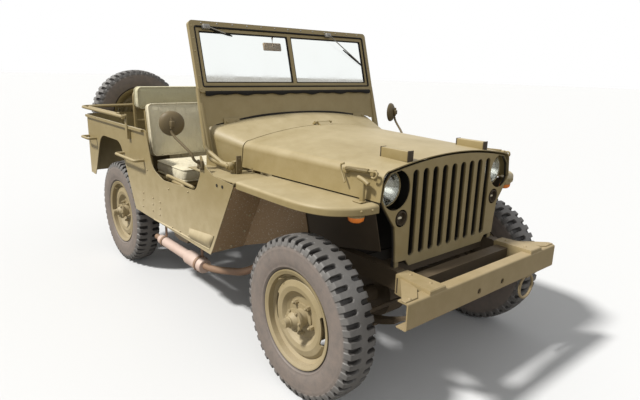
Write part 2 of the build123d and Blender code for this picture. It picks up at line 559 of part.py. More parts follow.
with BuildPart() as windshield_frame:
    for outer_u, top_v, bottom_v, bar, depth in (
        (WINDSHIELD_HALF, 0, APRON_V, SHIELD_BAR, SHIELD_DEPTH),
        (WINDSHIELD_HALF - SHIELD_BAR, -SHIELD_BAR, APRON_V + SHIELD_BAR, GLASS_BAR, GLASS_DEPTH),
    ):
        with BuildSketch(SHIELD_PLANE.offset(-depth / 2)) as frame_face:
            with Locations((0, (top_v + bottom_v) / 2)):
                RectangleRounded(2 * outer_u, top_v - bottom_v, 22)
                Rectangle(2 * (outer_u - bar), top_v - bottom_v - 2 * bar, mode=Mode.SUBTRACT)
        extrude(frame_face.sketch, amount=depth)
    with BuildSketch(SHIELD_PLANE.offset(-GLASS_DEPTH / 2)) as divider_face:
        with Locations((0, (PANE_TOP_V + PANE_BOTTOM_V) / 2)):
            Rectangle(2 * DIVIDER_HALF, PANE_TOP_V - PANE_BOTTOM_V + 2)
    extrude(divider_face.sketch, amount=GLASS_DEPTH)
    with BuildSketch(SHIELD_PLANE.offset(-SHEET / 2)) as apron_face:
        with Locations((0, (APRON_V + APRON_BOTTOM_V) / 2)):
            Rectangle(2 * (WINDSHIELD_HALF - 6), APRON_V - APRON_BOTTOM_V + 2)
    extrude(apron_face.sketch, amount=SHEET)
    seal_front = arch_solid(aft(COWL_FRONT_AFT - 30), *HOOD_REAR_SECTION, MOVING_GAP)
    seal_rear = arch_solid(aft(COWL_REAR_AFT), *COWL_REAR_SECTION, MOVING_GAP)
    loft([seal_front.sketch, seal_rear.sketch], ruled=True, mode=Mode.SUBTRACT)
    slab(aft(COWL_REAR_AFT + 60), aft(COWL_REAR_AFT - 80), -600, 600, DASH_BOTTOM - 65,
         HINGE_Z - 16, mode=Mode.SUBTRACT)
    for way in (-1, 1):
        tube([(rake_x(1262), way * (ARM_Y - 8), 1262), (rake_x(962), way * ARM_Y, 962),
              (aft(PIVOT_AFT) - 60, way * PIVOT_Y, PIVOT_Z), (aft(PIVOT_AFT), way * PIVOT_Y, PIVOT_Z)],
             ARM_RADIUS, 40)
        rod((aft(PIVOT_AFT), way * (PIVOT_Y - 12.5), PIVOT_Z),
            (aft(PIVOT_AFT), way * (PIVOT_Y + 12.5), PIVOT_Z), 16)
        rod((aft(PIVOT_AFT), way * (PIVOT_Y - 14), PIVOT_Z),
            (aft(PIVOT_AFT), way * (PIVOT_Y + 20), PIVOT_Z), 6.05,
            mode=Mode.SUBTRACT)

with BuildPart() as windshield_glass:
    with BuildSketch(SHIELD_PLANE.offset(-2.5)) as pane_face:
        for way in (-1, 1):
            with Locations((way * (PANE_OUTER_U + DIVIDER_HALF) / 2, (PANE_TOP_V + PANE_BOTTOM_V) / 2)):
                Rectangle(PANE_OUTER_U - DIVIDER_HALF - 0.2, PANE_TOP_V - PANE_BOTTOM_V - 0.2)
    extrude(pane_face.sketch, amount=5)

# Tyre, centred on the origin, its axle along Y: a revolved carcass with side lugs that leave a centre rib
LUG_COUNT = 26
LUG_HEIGHT = 13.0
RIB_HALF = 14.0
SHOULDER_Y = 66.0
LUG_SHARE = 0.62
TREAD_RADIUS = TYRE_RADIUS - LUG_HEIGHT
# carcass section: distance from the axle, distance from the middle plane
carcass = [
    (RIM_RADIUS, 56.5), (217, 60.5), (219, 67), (262, TYRE_HALF_WIDTH - 1), (300, TYRE_HALF_WIDTH - 2),
    (TREAD_RADIUS, 69),
]
with BuildPart() as tyre:
    with BuildSketch(Plane.XY) as section:
        Polygon(*[(r, y) for r, y in carcass], (TYRE_RADIUS, RIB_HALF), (TYRE_RADIUS, -RIB_HALF),
                *[(r, -y) for r, y in reversed(carcass)], align=None)
    revolve(section.sketch, axis=Axis.Y)
    for way, turn in ((1, 0.0), (-1, 0.5)):
        pitch = 360 / LUG_COUNT
        with BuildSketch(Plane.XZ.offset(-RIB_HALF + 1 if way > 0 else RIB_HALF - 1)) as lugs:
            with PolarLocations(0, LUG_COUNT, start_angle=turn * pitch):
                half = radians(pitch * LUG_SHARE / 2)
                root, tip = TREAD_RADIUS - 3, TYRE_RADIUS
                Polygon((root * cos(half), -root * sin(half)), (tip * cos(half), -tip * sin(half)),
                        (tip * cos(half), tip * sin(half)), (root * cos(half), root * sin(half)), align=None)
        extrude(lugs.sketch, amount=-way * (SHOULDER_Y - RIB_HALF))

# Wheel, centred on the origin with its outer side at +Y: rim, dished disc, hub, drive flange and brake drum
HUB_BORE = 20.05
# rim and disc section: distance from the axle, distance outward from the middle plane
rim_section = [
    (RIM_RADIUS - TOUCH_GAP, -63), (RIM_RADIUS - TOUCH_GAP, -38), (182, -32), (182, 20),
    (RIM_RADIUS - TOUCH_GAP, 32), (RIM_RADIUS - TOUCH_GAP, 58), (216, 62), (216, 67), (211, 67),
    (RIM_RADIUS - 7, 61), (RIM_RADIUS - 7, 36),
    (178, 26), (178, -36), (RIM_RADIUS - 7, -44), (RIM_RADIUS - 7, -61), (211, -67), (216, -67), (216, -63),
]
disc_section = [
    (179, 22), (176, 30), (164, 40), (140, 46), (118, 42), (104, 26), (92, 18), (40, 18), (40, 12), (95, 12),
    (108, 20), (120, 35), (140, 39), (160, 33), (171, 22), (173, -6), (179, -6),
]
hub_section = [
    (HUB_BORE, -40), (120, -40), (120, 8), (60, 8), (60, 24), (40, 24), (38, 58), (50, 58), (50, 70),
    (36, 72),
    (24, 88), (20, 92), (20, 122), (0, 124), (0, 44), (HUB_BORE, 44),
]
VENT_COUNT = 5
NUT_COUNT = 5
NUT_CIRCLE_RADIUS = 70.0
with BuildPart() as wheel:
    for section_points in (rim_section, disc_section, hub_section):
        with BuildSketch(Plane.XY) as section:
            Polygon(*section_points, align=None)
        revolve(section.sketch, axis=Axis.Y)
    with BuildSketch(Plane.XZ.offset(-60)) as vents:
        with PolarLocations(0, VENT_COUNT, start_angle=90):
            SlotArc(CenterArc((0, 0), 160, -20, 40), 20)
    extrude(vents.sketch, amount=70, mode=Mode.SUBTRACT)
    with BuildSketch(Plane.XZ.offset(-17)) as nuts:
        with PolarLocations(NUT_CIRCLE_RADIUS, NUT_COUNT, start_angle=54):
            RegularPolygon(11, 6)
    extrude(nuts.sketch, amount=-18)


def placed(piece, x, y, z, outward):
    """A copy of a wheel or tyre at its place, with its outer side turned to the car's left or right."""
    turn = 0 if outward > 0 else 180
    with BuildPart() as copy:
        with Locations(Location((x, y, z), (0, 0, turn))):
            add(piece.part)
    return copy


corners = [
    ("front_left", X_FRONT, 1), ("front_right", X_FRONT, -1),
    ("rear_left", X_REAR, 1), ("rear_right", X_REAR, -1),
]
wheels = {}
for name, axle_x, way in corners:
    wheels["tyre_" + name] = placed(tyre, axle_x, way * TRACK_HALF, GROUND_TO_AXLE, way)
    wheels["wheel_" + name] = placed(wheel, axle_x, way * TRACK_HALF, GROUND_TO_AXLE, way)

# Spare wheel without its hub, on a carrier at the right of the rear panel
SPARE_AFT = 2722.0
SPARE_Y = -262.0
SPARE_Z = 968.0
with BuildPart() as spare_disc:
    for section_points in (rim_section, disc_section):
        with BuildSketch(Plane.XY) as section:
            Polygon(*section_points, align=None)
        revolve(section.sketch, axis=Axis.Y)
    with BuildSketch(Plane.XZ.offset(-60)) as vents:
        with PolarLocations(0, VENT_COUNT, start_angle=90):
            SlotArc(CenterArc((0, 0), 160, -20, 40), 20)
    extrude(vents.sketch, amount=70, mode=Mode.SUBTRACT)
spare_place = Location((aft(SPARE_AFT), SPARE_Y, SPARE_Z), (0, 0, 90))
with BuildPart() as spare_tyre:
    with Locations(spare_place):
        add(tyre.part)
with BuildPart() as spare_wheel:
    with Locations(spare_place):
        add(spare_disc.part)
with BuildPart() as spare_carrier:
    rod((BODY_REAR_X - TOUCH_GAP, SPARE_Y, SPARE_Z), (aft(SPARE_AFT + 11.7), SPARE_Y, SPARE_Z), 62)
    rod((aft(SPARE_AFT + 11.7), SPARE_Y, SPARE_Z), (aft(SPARE_AFT + 30), SPARE_Y, SPARE_Z), 38)
    slab(BODY_REAR_X - TOUCH_GAP - 12, BODY_REAR_X - TOUCH_GAP, SPARE_Y - 150, SPARE_Y + 150, 780, 990)

# Axles: tube, differential offset to the right, and ball ends (front) or brake plates (rear)
AXLE_TUBE_RADIUS = 38.0
DIFF_Y = -165.0
DIFF_RADIUS = 116.0
BALL_Y = 474.0
BALL_RADIUS = 60.0
PLATE_RADIUS = 114.0
PLATE_INNER_Y = TRACK_HALF - 54
SPINDLE_RADIUS = 20.0
SPINDLE_END_Y = TRACK_HALF + 40
SPRING_TOP_AT_AXLE = GROUND_TO_AXLE - AXLE_TUBE_RADIUS - 6
AXLE_Z = GROUND_TO_AXLE
with BuildPart() as front_axle:
    rod((X_FRONT, -BALL_Y, AXLE_Z), (X_FRONT, BALL_Y, AXLE_Z), AXLE_TUBE_RADIUS)
    with Locations((X_FRONT, DIFF_Y, AXLE_Z)):
        Cylinder(DIFF_RADIUS, 110, rotation=(90, 0, 0))
    rod((X_FRONT, DIFF_Y, AXLE_Z), (X_FRONT - 170, DIFF_Y, AXLE_Z + 30), 42)
    for way in (-1, 1):
        with Locations((X_FRONT, way * BALL_Y, AXLE_Z)):
            Sphere(BALL_RADIUS)
        slab(X_FRONT - 32, X_FRONT + 32, way * (SPRING_Y - 22), way * (SPRING_Y + 22),
             SPRING_TOP_AT_AXLE + 4 * TOUCH_GAP, AXLE_Z - 10)
with BuildPart() as rear_axle:
    rod((X_REAR, -PLATE_INNER_Y, AXLE_Z), (X_REAR, PLATE_INNER_Y, AXLE_Z), AXLE_TUBE_RADIUS)
    with Locations((X_REAR, DIFF_Y, AXLE_Z)):
        Cylinder(DIFF_RADIUS, 110, rotation=(90, 0, 0))
    rod((X_REAR, DIFF_Y, AXLE_Z), (X_REAR + 170, DIFF_Y, AXLE_Z + 30), 42)
    for way in (-1, 1):
        rod((X_REAR, way * PLATE_INNER_Y, AXLE_Z), (X_REAR, way * (PLATE_INNER_Y + 6), AXLE_Z),
            PLATE_RADIUS)
        rod((X_REAR, way * PLATE_INNER_Y, AXLE_Z), (X_REAR, way * SPINDLE_END_Y, AXLE_Z), SPINDLE_RADIUS)
        slab(X_REAR - 32, X_REAR + 32, way * (SPRING_Y - 22), way * (SPRING_Y + 22),
             SPRING_TOP_AT_AXLE + 4 * TOUCH_GAP, AXLE_Z - 10)

# Steering knuckles: a half shell round the ball, brake plate, spindle and steering arm
CUP_RADIUS = 74.0
KINGPIN_CAP_RADIUS = 24.0
ARM_END_AHEAD = 178.0
ARM_END_Y = BALL_Y
ARM_Z = GROUND_TO_AXLE + 6
with BuildPart() as knuckle_left:
    with Locations((X_FRONT, BALL_Y, AXLE_Z)):
        Sphere(CUP_RADIUS)
        Sphere(BALL_RADIUS + TOUCH_GAP, mode=Mode.SUBTRACT)
    slab(X_FRONT - 100, X_FRONT + 100, BALL_Y - 100, BALL_Y, AXLE_Z - 100, AXLE_Z + 100,
         mode=Mode.SUBTRACT)
    rod((X_FRONT, BALL_Y + 66, AXLE_Z), (X_FRONT, SPINDLE_END_Y, AXLE_Z), SPINDLE_RADIUS)
    rod((X_FRONT, PLATE_INNER_Y, AXLE_Z), (X_FRONT, PLATE_INNER_Y + 6, AXLE_Z), PLATE_RADIUS)
    rod((X_FRONT, BALL_Y + 66, AXLE_Z), (X_FRONT, PLATE_INNER_Y + 3, AXLE_Z), 40)
    tube([(X_FRONT + 64, BALL_Y + 14, ARM_Z), (X_FRONT + 120, BALL_Y + 6, ARM_Z),
          (ahead(ARM_END_AHEAD), ARM_END_Y, ARM_Z)], 10, 30)
    for way in (-1, 1):
        rod((X_FRONT, BALL_Y, AXLE_Z + way * (BALL_RADIUS + 2)),
            (X_FRONT, BALL_Y, AXLE_Z + way * (CUP_RADIUS + 10)), KINGPIN_CAP_RADIUS)
    rod((ahead(ARM_END_AHEAD), ARM_END_Y, ARM_Z - 12), (ahead(ARM_END_AHEAD), ARM_END_Y, ARM_Z + 12), 16)
    rod((ahead(ARM_END_AHEAD), ARM_END_Y, ARM_Z - 20), (ahead(ARM_END_AHEAD), ARM_END_Y, ARM_Z + 20), 6.05,
        mode=Mode.SUBTRACT)
with BuildPart() as knuckle_right:
    mirror(knuckle_left.part, about=Plane.XZ)

# Tie rod between the two steering arms, with a pin up into each
TIE_Z = ARM_Z + 26
with BuildPart() as tie_rod:
    rod((ahead(ARM_END_AHEAD), -ARM_END_Y, TIE_Z), (ahead(ARM_END_AHEAD), ARM_END_Y, TIE_Z), 10)
    for way in (-1, 1):
        end_y = way * ARM_END_Y
        rod((ahead(ARM_END_AHEAD), end_y, TIE_Z - 13), (ahead(ARM_END_AHEAD), end_y, TIE_Z + 12), 14)
        rod((ahead(ARM_END_AHEAD), end_y, TIE_Z), (ahead(ARM_END_AHEAD), end_y, ARM_Z - 10), 6)

# Leaf springs under the axles, with their eyes under the frame's hangers
# leaf: share of the spring's reach, thickness
leaves = [(1.0, 12.0), (0.72, 14.0), (0.42, 14.0)]
with BuildPart() as leaf_springs:
    for axle_x, spring_reach, eye_z, _, _ in springs:
        top = SPRING_TOP_AT_AXLE
        for share, thick in leaves:
            reach = spring_reach * share
            rise = (eye_z - SPRING_TOP_AT_AXLE) * share * share
            with BuildSketch(Plane.XZ.offset(-SPRING_Y - SPRING_WIDTH / 2)) as leaf:
                with BuildLine():
                    ThreePointArc((axle_x - reach, top + rise), (axle_x, top), (axle_x + reach, top + rise))
                    Line((axle_x + reach, top + rise), (axle_x + reach, top + rise - thick))
                    ThreePointArc((axle_x + reach, top + rise - thick), (axle_x, top - thick),
                                  (axle_x - reach, top + rise - thick))
                    Line((axle_x - reach, top + rise - thick), (axle_x - reach, top + rise))
                make_face()
            extrude(leaf.sketch, amount=SPRING_WIDTH)
            top -= thick
        for way in (-1, 1):
            with Locations((axle_x + way * spring_reach, SPRING_Y, eye_z)):
                Cylinder(SPRING_EYE_RADIUS, SPRING_WIDTH, rotation=(90, 0, 0))
    mirror(about=Plane.XZ)

# Exhaust: muffler lengthways under the right sill, with its pipe to the engine and a short tail
MUFFLER_Y = -598.0
MUFFLER_Z = 262.0
MUFFLER_RADIUS = 43.0
with BuildPart() as exhaust:
    rod((aft(955), MUFFLER_Y, MUFFLER_Z), (aft(1560), MUFFLER_Y, MUFFLER_Z), MUFFLER_RADIUS)
    tube([(aft(956), MUFFLER_Y, MUFFLER_Z + 6), (aft(840), MUFFLER_Y, MUFFLER_Z + 22),
          (aft(575), -570, 352), (aft(455), -430, 440), (aft(440), -300, 462), (aft(345), -225, 500),
          (aft(345), -150.3, 500)], 20, 32)
    rod((aft(1558), MUFFLER_Y, MUFFLER_Z), (aft(1630), MUFFLER_Y, MUFFLER_Z), 18)

# Drive shafts from the transfer case to the differentials
with BuildPart() as drive_shafts:
    rod((X_FRONT - 172, DIFF_Y, AXLE_Z + 30), (aft(756.9), DIFF_Y, 452), 24)
    rod((aft(982.2), DIFF_Y, 452), (X_REAR + 174, DIFF_Y, AXLE_Z + 30), 24)

# Fuel tank under the driver's seat
with BuildPart() as fuel_tank:
    slab(aft(1600), aft(1190), 190, 600, FLOOR_TOP + TOUCH_GAP, 680)
    fillet(fuel_tank.edges().filter_by(Axis.Z), 40)
    rod((aft(1400), 395, 679), (aft(1400), 395, 700), 40)

# Seats: tube frames and plain closed cushions, the same for the driver (left) and the passenger (right)
SEAT_MID_Y = 385.0
SEAT_HALF = 218.0
SEAT_FRONT_AFT = 1175.0
SEAT_BACK_AFT = 1610.0
SEAT_TOP_Z = 790.0
SEAT_BACK_TOP_Z = 1138.0
SEAT_BACK_LEAN = 62.0
CUSHION_THICK = 84.0
BACK_THICK = 58.0
LEG_BOTTOM = FLOOR_TOP + TOUCH_GAP
CUSHION_BASE = SEAT_TOP_Z - CUSHION_THICK
SEAT_PIVOT_Z = FLOOR_TOP + 18
SEAT_EYE_RADIUS = 12.0
SEAT_EYE_HALF = 12.5
SEAT_PIN_RADIUS = 5.0


def seat_tubes(middle_y):
    """The tube frame of a front seat: the hoop of the back, the cushion's rails and the four legs."""
    for way in (-1, 1):
        y = middle_y + way * SEAT_HALF
        tube([(aft(SEAT_FRONT_AFT), y, SEAT_PIVOT_Z), (aft(SEAT_FRONT_AFT), y, CUSHION_BASE - 14),
              (aft(SEAT_BACK_AFT + 24), y, CUSHION_BASE - 14)], SEAT_TUBE_RADIUS, 40)
        rod((aft(SEAT_FRONT_AFT), y - SEAT_EYE_HALF, SEAT_PIVOT_Z),
            (aft(SEAT_FRONT_AFT), y + SEAT_EYE_HALF, SEAT_PIVOT_Z), SEAT_EYE_RADIUS)
        rod((aft(SEAT_FRONT_AFT), y - SEAT_EYE_HALF - 1, SEAT_PIVOT_Z),
            (aft(SEAT_FRONT_AFT), y + SEAT_EYE_HALF + 1, SEAT_PIVOT_Z), SEAT_PIN_RADIUS + PIN_CLEARANCE,
            mode=Mode.SUBTRACT)
        tube([(aft(SEAT_BACK_AFT + 24), y, LEG_BOTTOM), (aft(SEAT_BACK_AFT + 24), y, CUSHION_BASE - 14),
              (aft(SEAT_BACK_AFT + 24 + SEAT_BACK_LEAN), y, SEAT_BACK_TOP_Z - 50)], SEAT_TUBE_RADIUS, 40)
    low, high = middle_y - SEAT_HALF, middle_y + SEAT_HALF
    top_x = aft(SEAT_BACK_AFT + 24 + SEAT_BACK_LEAN)
    rod((top_x, low, SEAT_BACK_TOP_Z - 50), (top_x, high, SEAT_BACK_TOP_Z - 50), SEAT_TUBE_RADIUS)
    rod((aft(SEAT_FRONT_AFT + 40), low, CUSHION_BASE - 14),
        (aft(SEAT_FRONT_AFT + 40), high, CUSHION_BASE - 14),
        SEAT_TUBE_RADIUS)
    rod((aft(SEAT_BACK_AFT), low, CUSHION_BASE - 14), (aft(SEAT_BACK_AFT), high, CUSHION_BASE - 14),
        SEAT_TUBE_RADIUS)
    slab(aft(SEAT_BACK_AFT), aft(SEAT_FRONT_AFT + 30), low + 8, high - 8, CUSHION_BASE - 6,
         CUSHION_BASE - 0.6)


def seat_cushions(middle_y):
    """The cushion and the back pad of a front seat, as plain closed solids."""
    cushion = [
        (aft(SEAT_FRONT_AFT + 12), CUSHION_BASE), (aft(SEAT_FRONT_AFT + 12), SEAT_TOP_Z - 8),
        (aft(SEAT_BACK_AFT - 14), SEAT_TOP_Z - 14), (aft(SEAT_BACK_AFT - 14), CUSHION_BASE),
    ]
    side_plate(cushion, middle_y - SEAT_HALF + 4, middle_y + SEAT_HALF - 4)
    rail_z = CUSHION_BASE - 14
    lean = SEAT_BACK_LEAN / (SEAT_BACK_TOP_Z - 50 - rail_z)
    low_z, high_z = SEAT_TOP_Z + 6, SEAT_BACK_TOP_Z
    front_x = aft(SEAT_BACK_AFT + 24) + SEAT_TUBE_RADIUS + 2 * TOUCH_GAP
    back = [
        (front_x - lean * (low_z - rail_z), low_z),
        (front_x - lean * (high_z - rail_z), high_z),
        (front_x - lean * (high_z - rail_z) + BACK_THICK - 16, high_z - 4),
        (front_x - lean * (low_z - rail_z) + BACK_THICK, low_z),
    ]
    side_plate(back, middle_y - SEAT_HALF - 10, middle_y + SEAT_HALF + 10)


with BuildPart() as driver_seat_frame:
    seat_tubes(SEAT_MID_Y)
with BuildPart() as driver_seat_cushions:
    seat_cushions(SEAT_MID_Y)
with BuildPart() as passenger_seat_frame:
    seat_tubes(-SEAT_MID_Y)
with BuildPart() as passenger_seat_cushions:
    seat_cushions(-SEAT_MID_Y)

# Rear seat: fixed pan and cushion, and a back that folds forward
REAR_BACK_HALF = WHEELHOUSE_INNER_Y - 19
REAR_CUSHION_FRONT_AFT = 1880.0
REAR_CUSHION_BACK_AFT = 2262.0
REAR_CUSHION_HALF = REAR_BACK_HALF - 11
REAR_CUSHION_TOP = 770.0
REAR_CUSHION_THICK = 80.0
REAR_BACK_PIVOT_AFT = 2312.0
REAR_BACK_PIVOT_Z = 700.0
REAR_BACK_TOP = 1214.0
BOLSTER_HEIGHT = 165.0
BOLSTER_THICK = 100.0
BOLSTER_HALF = REAR_BACK_HALF + 10
EAR_OUTER = REAR_BACK_HALF - 18
EAR_INNER = EAR_OUTER - 8
with BuildPart() as rear_seat_pan:
    pan_top = REAR_CUSHION_TOP - REAR_CUSHION_THICK - 0.6
    slab(aft(REAR_CUSHION_BACK_AFT), aft(REAR_CUSHION_FRONT_AFT), -REAR_CUSHION_HALF, REAR_CUSHION_HALF,
         pan_top - 6, pan_top)
    for station in (REAR_CUSHION_FRONT_AFT + 15, REAR_CUSHION_BACK_AFT - 15):
        rod((aft(station), -REAR_CUSHION_HALF, pan_top - 12),
            (aft(station), REAR_CUSHION_HALF, pan_top - 12),
            SEAT_TUBE_RADIUS)
        for way in (-1, 1):
            rod((aft(station), way * (REAR_CUSHION_HALF - 45), REAR_FLOOR_TOP + TOUCH_GAP),
                (aft(station), way * (REAR_CUSHION_HALF - 45), pan_top - 4), 10)
    for way in (-1, 1):
        slab(aft(REAR_BACK_PIVOT_AFT + 14), aft(REAR_BACK_PIVOT_AFT - 14), way * EAR_INNER, way * EAR_OUTER,
             REAR_FLOOR_TOP + TOUCH_GAP, REAR_BACK_PIVOT_Z + 16)
        slab(aft(REAR_BACK_PIVOT_AFT), aft(REAR_CUSHION_BACK_AFT - 15), way * EAR_INNER, way * EAR_OUTER,
             pan_top - 26, pan_top - 6)
        rod((aft(REAR_BACK_PIVOT_AFT), way * (EAR_INNER + 2), REAR_BACK_PIVOT_Z),
            (aft(REAR_BACK_PIVOT_AFT), way * (REAR_BACK_HALF + 12), REAR_BACK_PIVOT_Z), 5)
with BuildPart() as rear_seat_cushion:
    slab(aft(REAR_CUSHION_BACK_AFT), aft(REAR_CUSHION_FRONT_AFT), -REAR_CUSHION_HALF + 4,
         REAR_CUSHION_HALF - 4,
         REAR_CUSHION_TOP - REAR_CUSHION_THICK, REAR_CUSHION_TOP)
with BuildPart() as rear_back_frame:
    tube([(aft(REAR_BACK_PIVOT_AFT), -REAR_BACK_HALF, REAR_BACK_PIVOT_Z),
          (aft(REAR_BACK_PIVOT_AFT + 22), -REAR_BACK_HALF, REAR_BACK_TOP - 24),
          (aft(REAR_BACK_PIVOT_AFT + 22), REAR_BACK_HALF, REAR_BACK_TOP - 24),
          (aft(REAR_BACK_PIVOT_AFT), REAR_BACK_HALF, REAR_BACK_PIVOT_Z)], SEAT_TUBE_RADIUS, 60)
    rod((aft(REAR_BACK_PIVOT_AFT + 13), -REAR_BACK_HALF, 960),
        (aft(REAR_BACK_PIVOT_AFT + 13), REAR_BACK_HALF, 960),
        8)
    for way in (-1, 1):
        rod((aft(REAR_BACK_PIVOT_AFT), way * (REAR_BACK_HALF - 9), REAR_BACK_PIVOT_Z),
            (aft(REAR_BACK_PIVOT_AFT), way * (REAR_BACK_HALF + 9), REAR_BACK_PIVOT_Z), 14)
        rod((aft(REAR_BACK_PIVOT_AFT), way * (REAR_BACK_HALF - 20), REAR_BACK_PIVOT_Z),
            (aft(REAR_BACK_PIVOT_AFT), way * (REAR_BACK_HALF + 20), REAR_BACK_PIVOT_Z), 5.05,
            mode=Mode.SUBTRACT)
with BuildPart() as rear_bolster:
    front_x = aft(REAR_BACK_PIVOT_AFT + 22) + SEAT_TUBE_RADIUS + 1
    slab(front_x, front_x + BOLSTER_THICK, -BOLSTER_HALF, BOLSTER_HALF, REAR_BACK_TOP - BOLSTER_HEIGHT,
         REAR_BACK_TOP)

# Top bows: two nested hoops stowed level round the rear body, on a bracket at each side
BOW_PIVOT_AFT = 1675.0
BOW_Z = 1056.0
BOW_Y = BODY_HALF + 34
BOW_RADIUS = 10.0
BOW_END_AFT = 2556.0
BOW_CAMBER = 56.0
REAR_BOW_PIVOT_AFT = 1862.0
REAR_BOW_Y = BOW_Y - 32
REAR_BOW_END_AFT = 2514.0


def bow(pivot_aft, end_aft, y):
    """A hoop that runs back from its pivots, round two corners and across in a shallow arch."""
    tube([(aft(pivot_aft), -y, BOW_Z), (aft(end_aft), -y, BOW_Z), (aft(end_aft + BOW_CAMBER), 0, BOW_Z),
          (aft(end_aft), y, BOW_Z), (aft(pivot_aft), y, BOW_Z)], BOW_RADIUS, [80, 900, 80])


with BuildPart() as front_bow:
    bow(BOW_PIVOT_AFT, BOW_END_AFT, BOW_Y)
    for way in (-1, 1):
        rod((aft(BOW_PIVOT_AFT), way * (BOW_Y - 9), BOW_Z), (aft(BOW_PIVOT_AFT), way * (BOW_Y + 9), BOW_Z),
            14)
        rod((aft(BOW_PIVOT_AFT), way * (BOW_Y - 20), BOW_Z),
            (aft(BOW_PIVOT_AFT), way * (BOW_Y + 20), BOW_Z), 5.05,
            mode=Mode.SUBTRACT)
        rod((aft(REAR_BOW_PIVOT_AFT), way * (BOW_Y - 5), BOW_Z),
            (aft(REAR_BOW_PIVOT_AFT), way * (REAR_BOW_Y - 12),
            BOW_Z), 4)
with BuildPart() as rear_bow:
    bow(REAR_BOW_PIVOT_AFT, REAR_BOW_END_AFT, REAR_BOW_Y)
    for way in (-1, 1):
        rod((aft(REAR_BOW_PIVOT_AFT), way * (REAR_BOW_Y - 9), BOW_Z), (aft(REAR_BOW_PIVOT_AFT),
            way * (REAR_BOW_Y + 9), BOW_Z), 12)
        rod((aft(REAR_BOW_PIVOT_AFT), way * (REAR_BOW_Y - 20), BOW_Z), (aft(REAR_BOW_PIVOT_AFT),
            way * (REAR_BOW_Y + 12), BOW_Z), 4.05, mode=Mode.SUBTRACT)
with BuildPart() as bow_brackets:
    for way in (-1, 1):
        slab(aft(BOW_PIVOT_AFT + 15), aft(BOW_PIVOT_AFT - 15), way * (BODY_HALF + 16.3),
             way * (BODY_HALF + 22),
             920, BOW_Z + 16)
        slab(aft(BOW_PIVOT_AFT + 15), aft(BOW_PIVOT_AFT - 15), way * (BODY_HALF + TOUCH_GAP),
             way * (BODY_HALF + 22), 920, RAIL_Z - 16.3)
        rod((aft(BOW_PIVOT_AFT), way * (BODY_HALF + 17), BOW_Z),
            (aft(BOW_PIVOT_AFT), way * (BOW_Y + 14), BOW_Z), 5)

# Steering: box and column, and the three-spoke wheel at its top
WHEEL_CENTRE = Vector(aft(1100), 360, 1085)
COLUMN_FOOT = Vector(aft(215), 282, 500)
COLUMN_DIR = (WHEEL_CENTRE - COLUMN_FOOT).normalized()
STEERING_RADIUS = 212.0
STEERING_GRIP = 9.0
COLUMN_RADIUS = 19.0
COLUMN_END_GAP = 18.0
column_top = WHEEL_CENTRE - COLUMN_DIR * COLUMN_END_GAP
wheel_plane = Plane(origin=tuple(WHEEL_CENTRE), x_dir=(0, 1, 0), z_dir=tuple(COLUMN_DIR))
with BuildPart() as steering_column:
    rod(tuple(COLUMN_FOOT), tuple(column_top), COLUMN_RADIUS)
    rod(tuple(COLUMN_FOOT - COLUMN_DIR * 60), tuple(COLUMN_FOOT + COLUMN_DIR * 70), 34)
    rod(tuple(column_top - COLUMN_DIR * 5), tuple(WHEEL_CENTRE + COLUMN_DIR * 20), 9)
    slab(aft(245), aft(185), COLUMN_FOOT.Y, RAIL_INNER_Y - TOUCH_GAP, 515, 550)
with BuildPart() as floor:
    add(floor_pan.part)
    rod(tuple(COLUMN_FOOT + COLUMN_DIR * 150), tuple(column_top), COLUMN_RADIUS + 3, mode=Mode.SUBTRACT)
    for middle_y in (SEAT_MID_Y, -SEAT_MID_Y):
        for way in (-1, 1):
            leg_y = middle_y + way * SEAT_HALF
            ear_y = leg_y + way * (SEAT_EYE_HALF + 1.5)
            slab(aft(SEAT_FRONT_AFT + 14), aft(SEAT_FRONT_AFT - 14), ear_y, ear_y + way * 6,
                 FLOOR_TOP - 1, SEAT_PIVOT_Z + 12)
            rod((aft(SEAT_FRONT_AFT), ear_y + way * 3, SEAT_PIVOT_Z),
                (aft(SEAT_FRONT_AFT), leg_y - way * SEAT_EYE_HALF, SEAT_PIVOT_Z), SEAT_PIN_RADIUS)
with BuildPart() as steering_wheel:
    with BuildSketch(Plane(origin=tuple(WHEEL_CENTRE), x_dir=tuple(COLUMN_DIR), z_dir=(0, 1, 0))) as grip:
        with Locations((0, STEERING_RADIUS)):
            Circle(STEERING_GRIP)
    revolve(grip.sketch, axis=Axis(tuple(WHEEL_CENTRE), tuple(COLUMN_DIR)))
    rod(tuple(WHEEL_CENTRE - COLUMN_DIR * 10), tuple(WHEEL_CENTRE + COLUMN_DIR * 24), 26)
    rod(tuple(WHEEL_CENTRE - COLUMN_DIR * 12), tuple(WHEEL_CENTRE + COLUMN_DIR * 20.1), 9.05,
        mode=Mode.SUBTRACT)
    for turn in (90, 210, 330):
        spoke_end = wheel_plane.from_local_coords(
            Vector(STEERING_RADIUS * cos(radians(turn)), STEERING_RADIUS * sin(radians(turn)), 0)
        )
        spoke_start = wheel_plane.from_local_coords(Vector(18 * cos(radians(turn)),
                                                           18 * sin(radians(turn)), 6))
        rod(tuple(spoke_start), tuple(spoke_end), 5)

